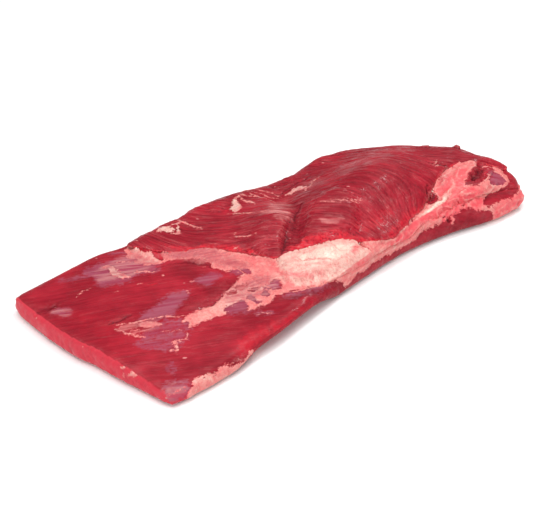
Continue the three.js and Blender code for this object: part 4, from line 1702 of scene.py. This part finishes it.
def point_muscle() -> Layer:
    """The point muscle, a tongue and a mound of coarse fibres.

    Returns:
        The layer.
    """
    return Layer(
        node="point_muscle", piece="point_muscle_meat", slot="lean_point", covers=(),
        rests_on=("seam_fat",),
        finish=MeatFinish("Point lean", fibre_bump=0.70, sinew_share=0.30, gap_share=0.30),
        marks=POINT_MARKS, grain=point_grain, seed=37, voxel=2.1, cuts=1,
        undulation=0.9, ridges=0.50, relief=1.9, rim_rough=1.3, rim_swell=2.0,
        fat_from_below=-0.4, rim_raw=6.0,
    )


# ---------------------------------------------------------------- studio


@dataclass(frozen=True)
class Softbox:
    """A square soft light that faces the meat."""

    name: str
    place: tuple[float, float, float]
    size: float
    power: float

    def hang(self) -> None:
        """Hangs the light."""
        bpy.ops.object.light_add(type="AREA", location=self.place)
        lamp = bpy.context.active_object
        lamp.name = self.name
        lamp.data.shape = "SQUARE"
        lamp.data.size = self.size
        lamp.data.energy = self.power
        towards = Vector((0, 0, 0.02)) - Vector(self.place)
        lamp.rotation_euler = towards.to_track_quat("-Z", "Y").to_euler()


@dataclass(frozen=True)
class Studio:
    """A pale floor, soft lights and the camera."""

    azimuth: float = -45.0
    elevation: float = 34.0
    distance: float = 1.044
    aim: tuple[float, float, float] = (-0.0168, 0.0058, 0.0)
    lens: float = 65.2
    floor_size: float = 12.0
    paper: Colour = (0.93, 0.93, 0.93, 1)
    air: float = 0.26
    lights: tuple[Softbox, ...] = (
        Softbox("overhead_light", (-0.20, 0.10, 1.9), 2.0, 38.0),
        Softbox("left_light", (-1.5, -0.5, 0.9), 1.0, 10.0),
        Softbox("front_light", (0.7, -1.6, 0.8), 1.0, 9.5),
        Softbox("spark_light", (0.95, 0.15, 1.35), 0.24, 6.5),
    )

    def floor(self) -> None:
        """Lays the floor."""
        bpy.ops.mesh.primitive_plane_add(size=self.floor_size, location=(0, 0, -0.4 * MM))
        floor = bpy.context.active_object
        floor.name = "studio_floor"
        paper = bpy.data.materials.new("Studio paper")
        paper.use_nodes = True
        shader = paper.node_tree.nodes["Principled BSDF"]
        shader.inputs["Base Color"].default_value = self.paper
        shader.inputs["Roughness"].default_value = 0.9
        shader.inputs["Specular IOR Level"].default_value = 0.1
        floor.data.materials.append(paper)

    def camera(self) -> None:
        """Sets up the camera."""
        turn, rise = math.radians(self.azimuth), math.radians(self.elevation)
        back = Vector((math.sin(turn) * math.cos(rise), -math.cos(turn) * math.cos(rise), math.sin(rise)))
        bpy.ops.object.camera_add(location=Vector(self.aim) + back * self.distance)
        camera = bpy.context.active_object
        camera.rotation_euler = back.to_track_quat("Z", "Y").to_euler()
        camera.data.lens = self.lens
        camera.data.sensor_width = 36.0
        bpy.context.scene.camera = camera

    def build(self) -> None:
        """Builds the whole studio."""
        self.floor()
        for light in self.lights:
            light.hang()
        world = bpy.data.worlds.new("Studio air")
        world.use_nodes = True
        world.node_tree.nodes["Background"].inputs["Color"].default_value = (1.0, 1.0, 1.0, 1)
        world.node_tree.nodes["Background"].inputs["Strength"].default_value = self.air
        bpy.context.scene.world = world
        bpy.context.scene.view_settings.view_transform = "Standard"
        self.camera()


def main() -> None:
    """Builds the brisket and its studio."""
    logging.basicConfig(level=logging.INFO, format="%(name)s: %(message)s")
    board = Board(tuple(CAD_BOX[0]), tuple(CAD_BOX[1]))
    upper = None
    for layer in (point_muscle(), seam_fat(), flat_muscle()):
        upper = layer.build(board, upper)
    Studio().build()


if __name__ == "__main__":
    main()
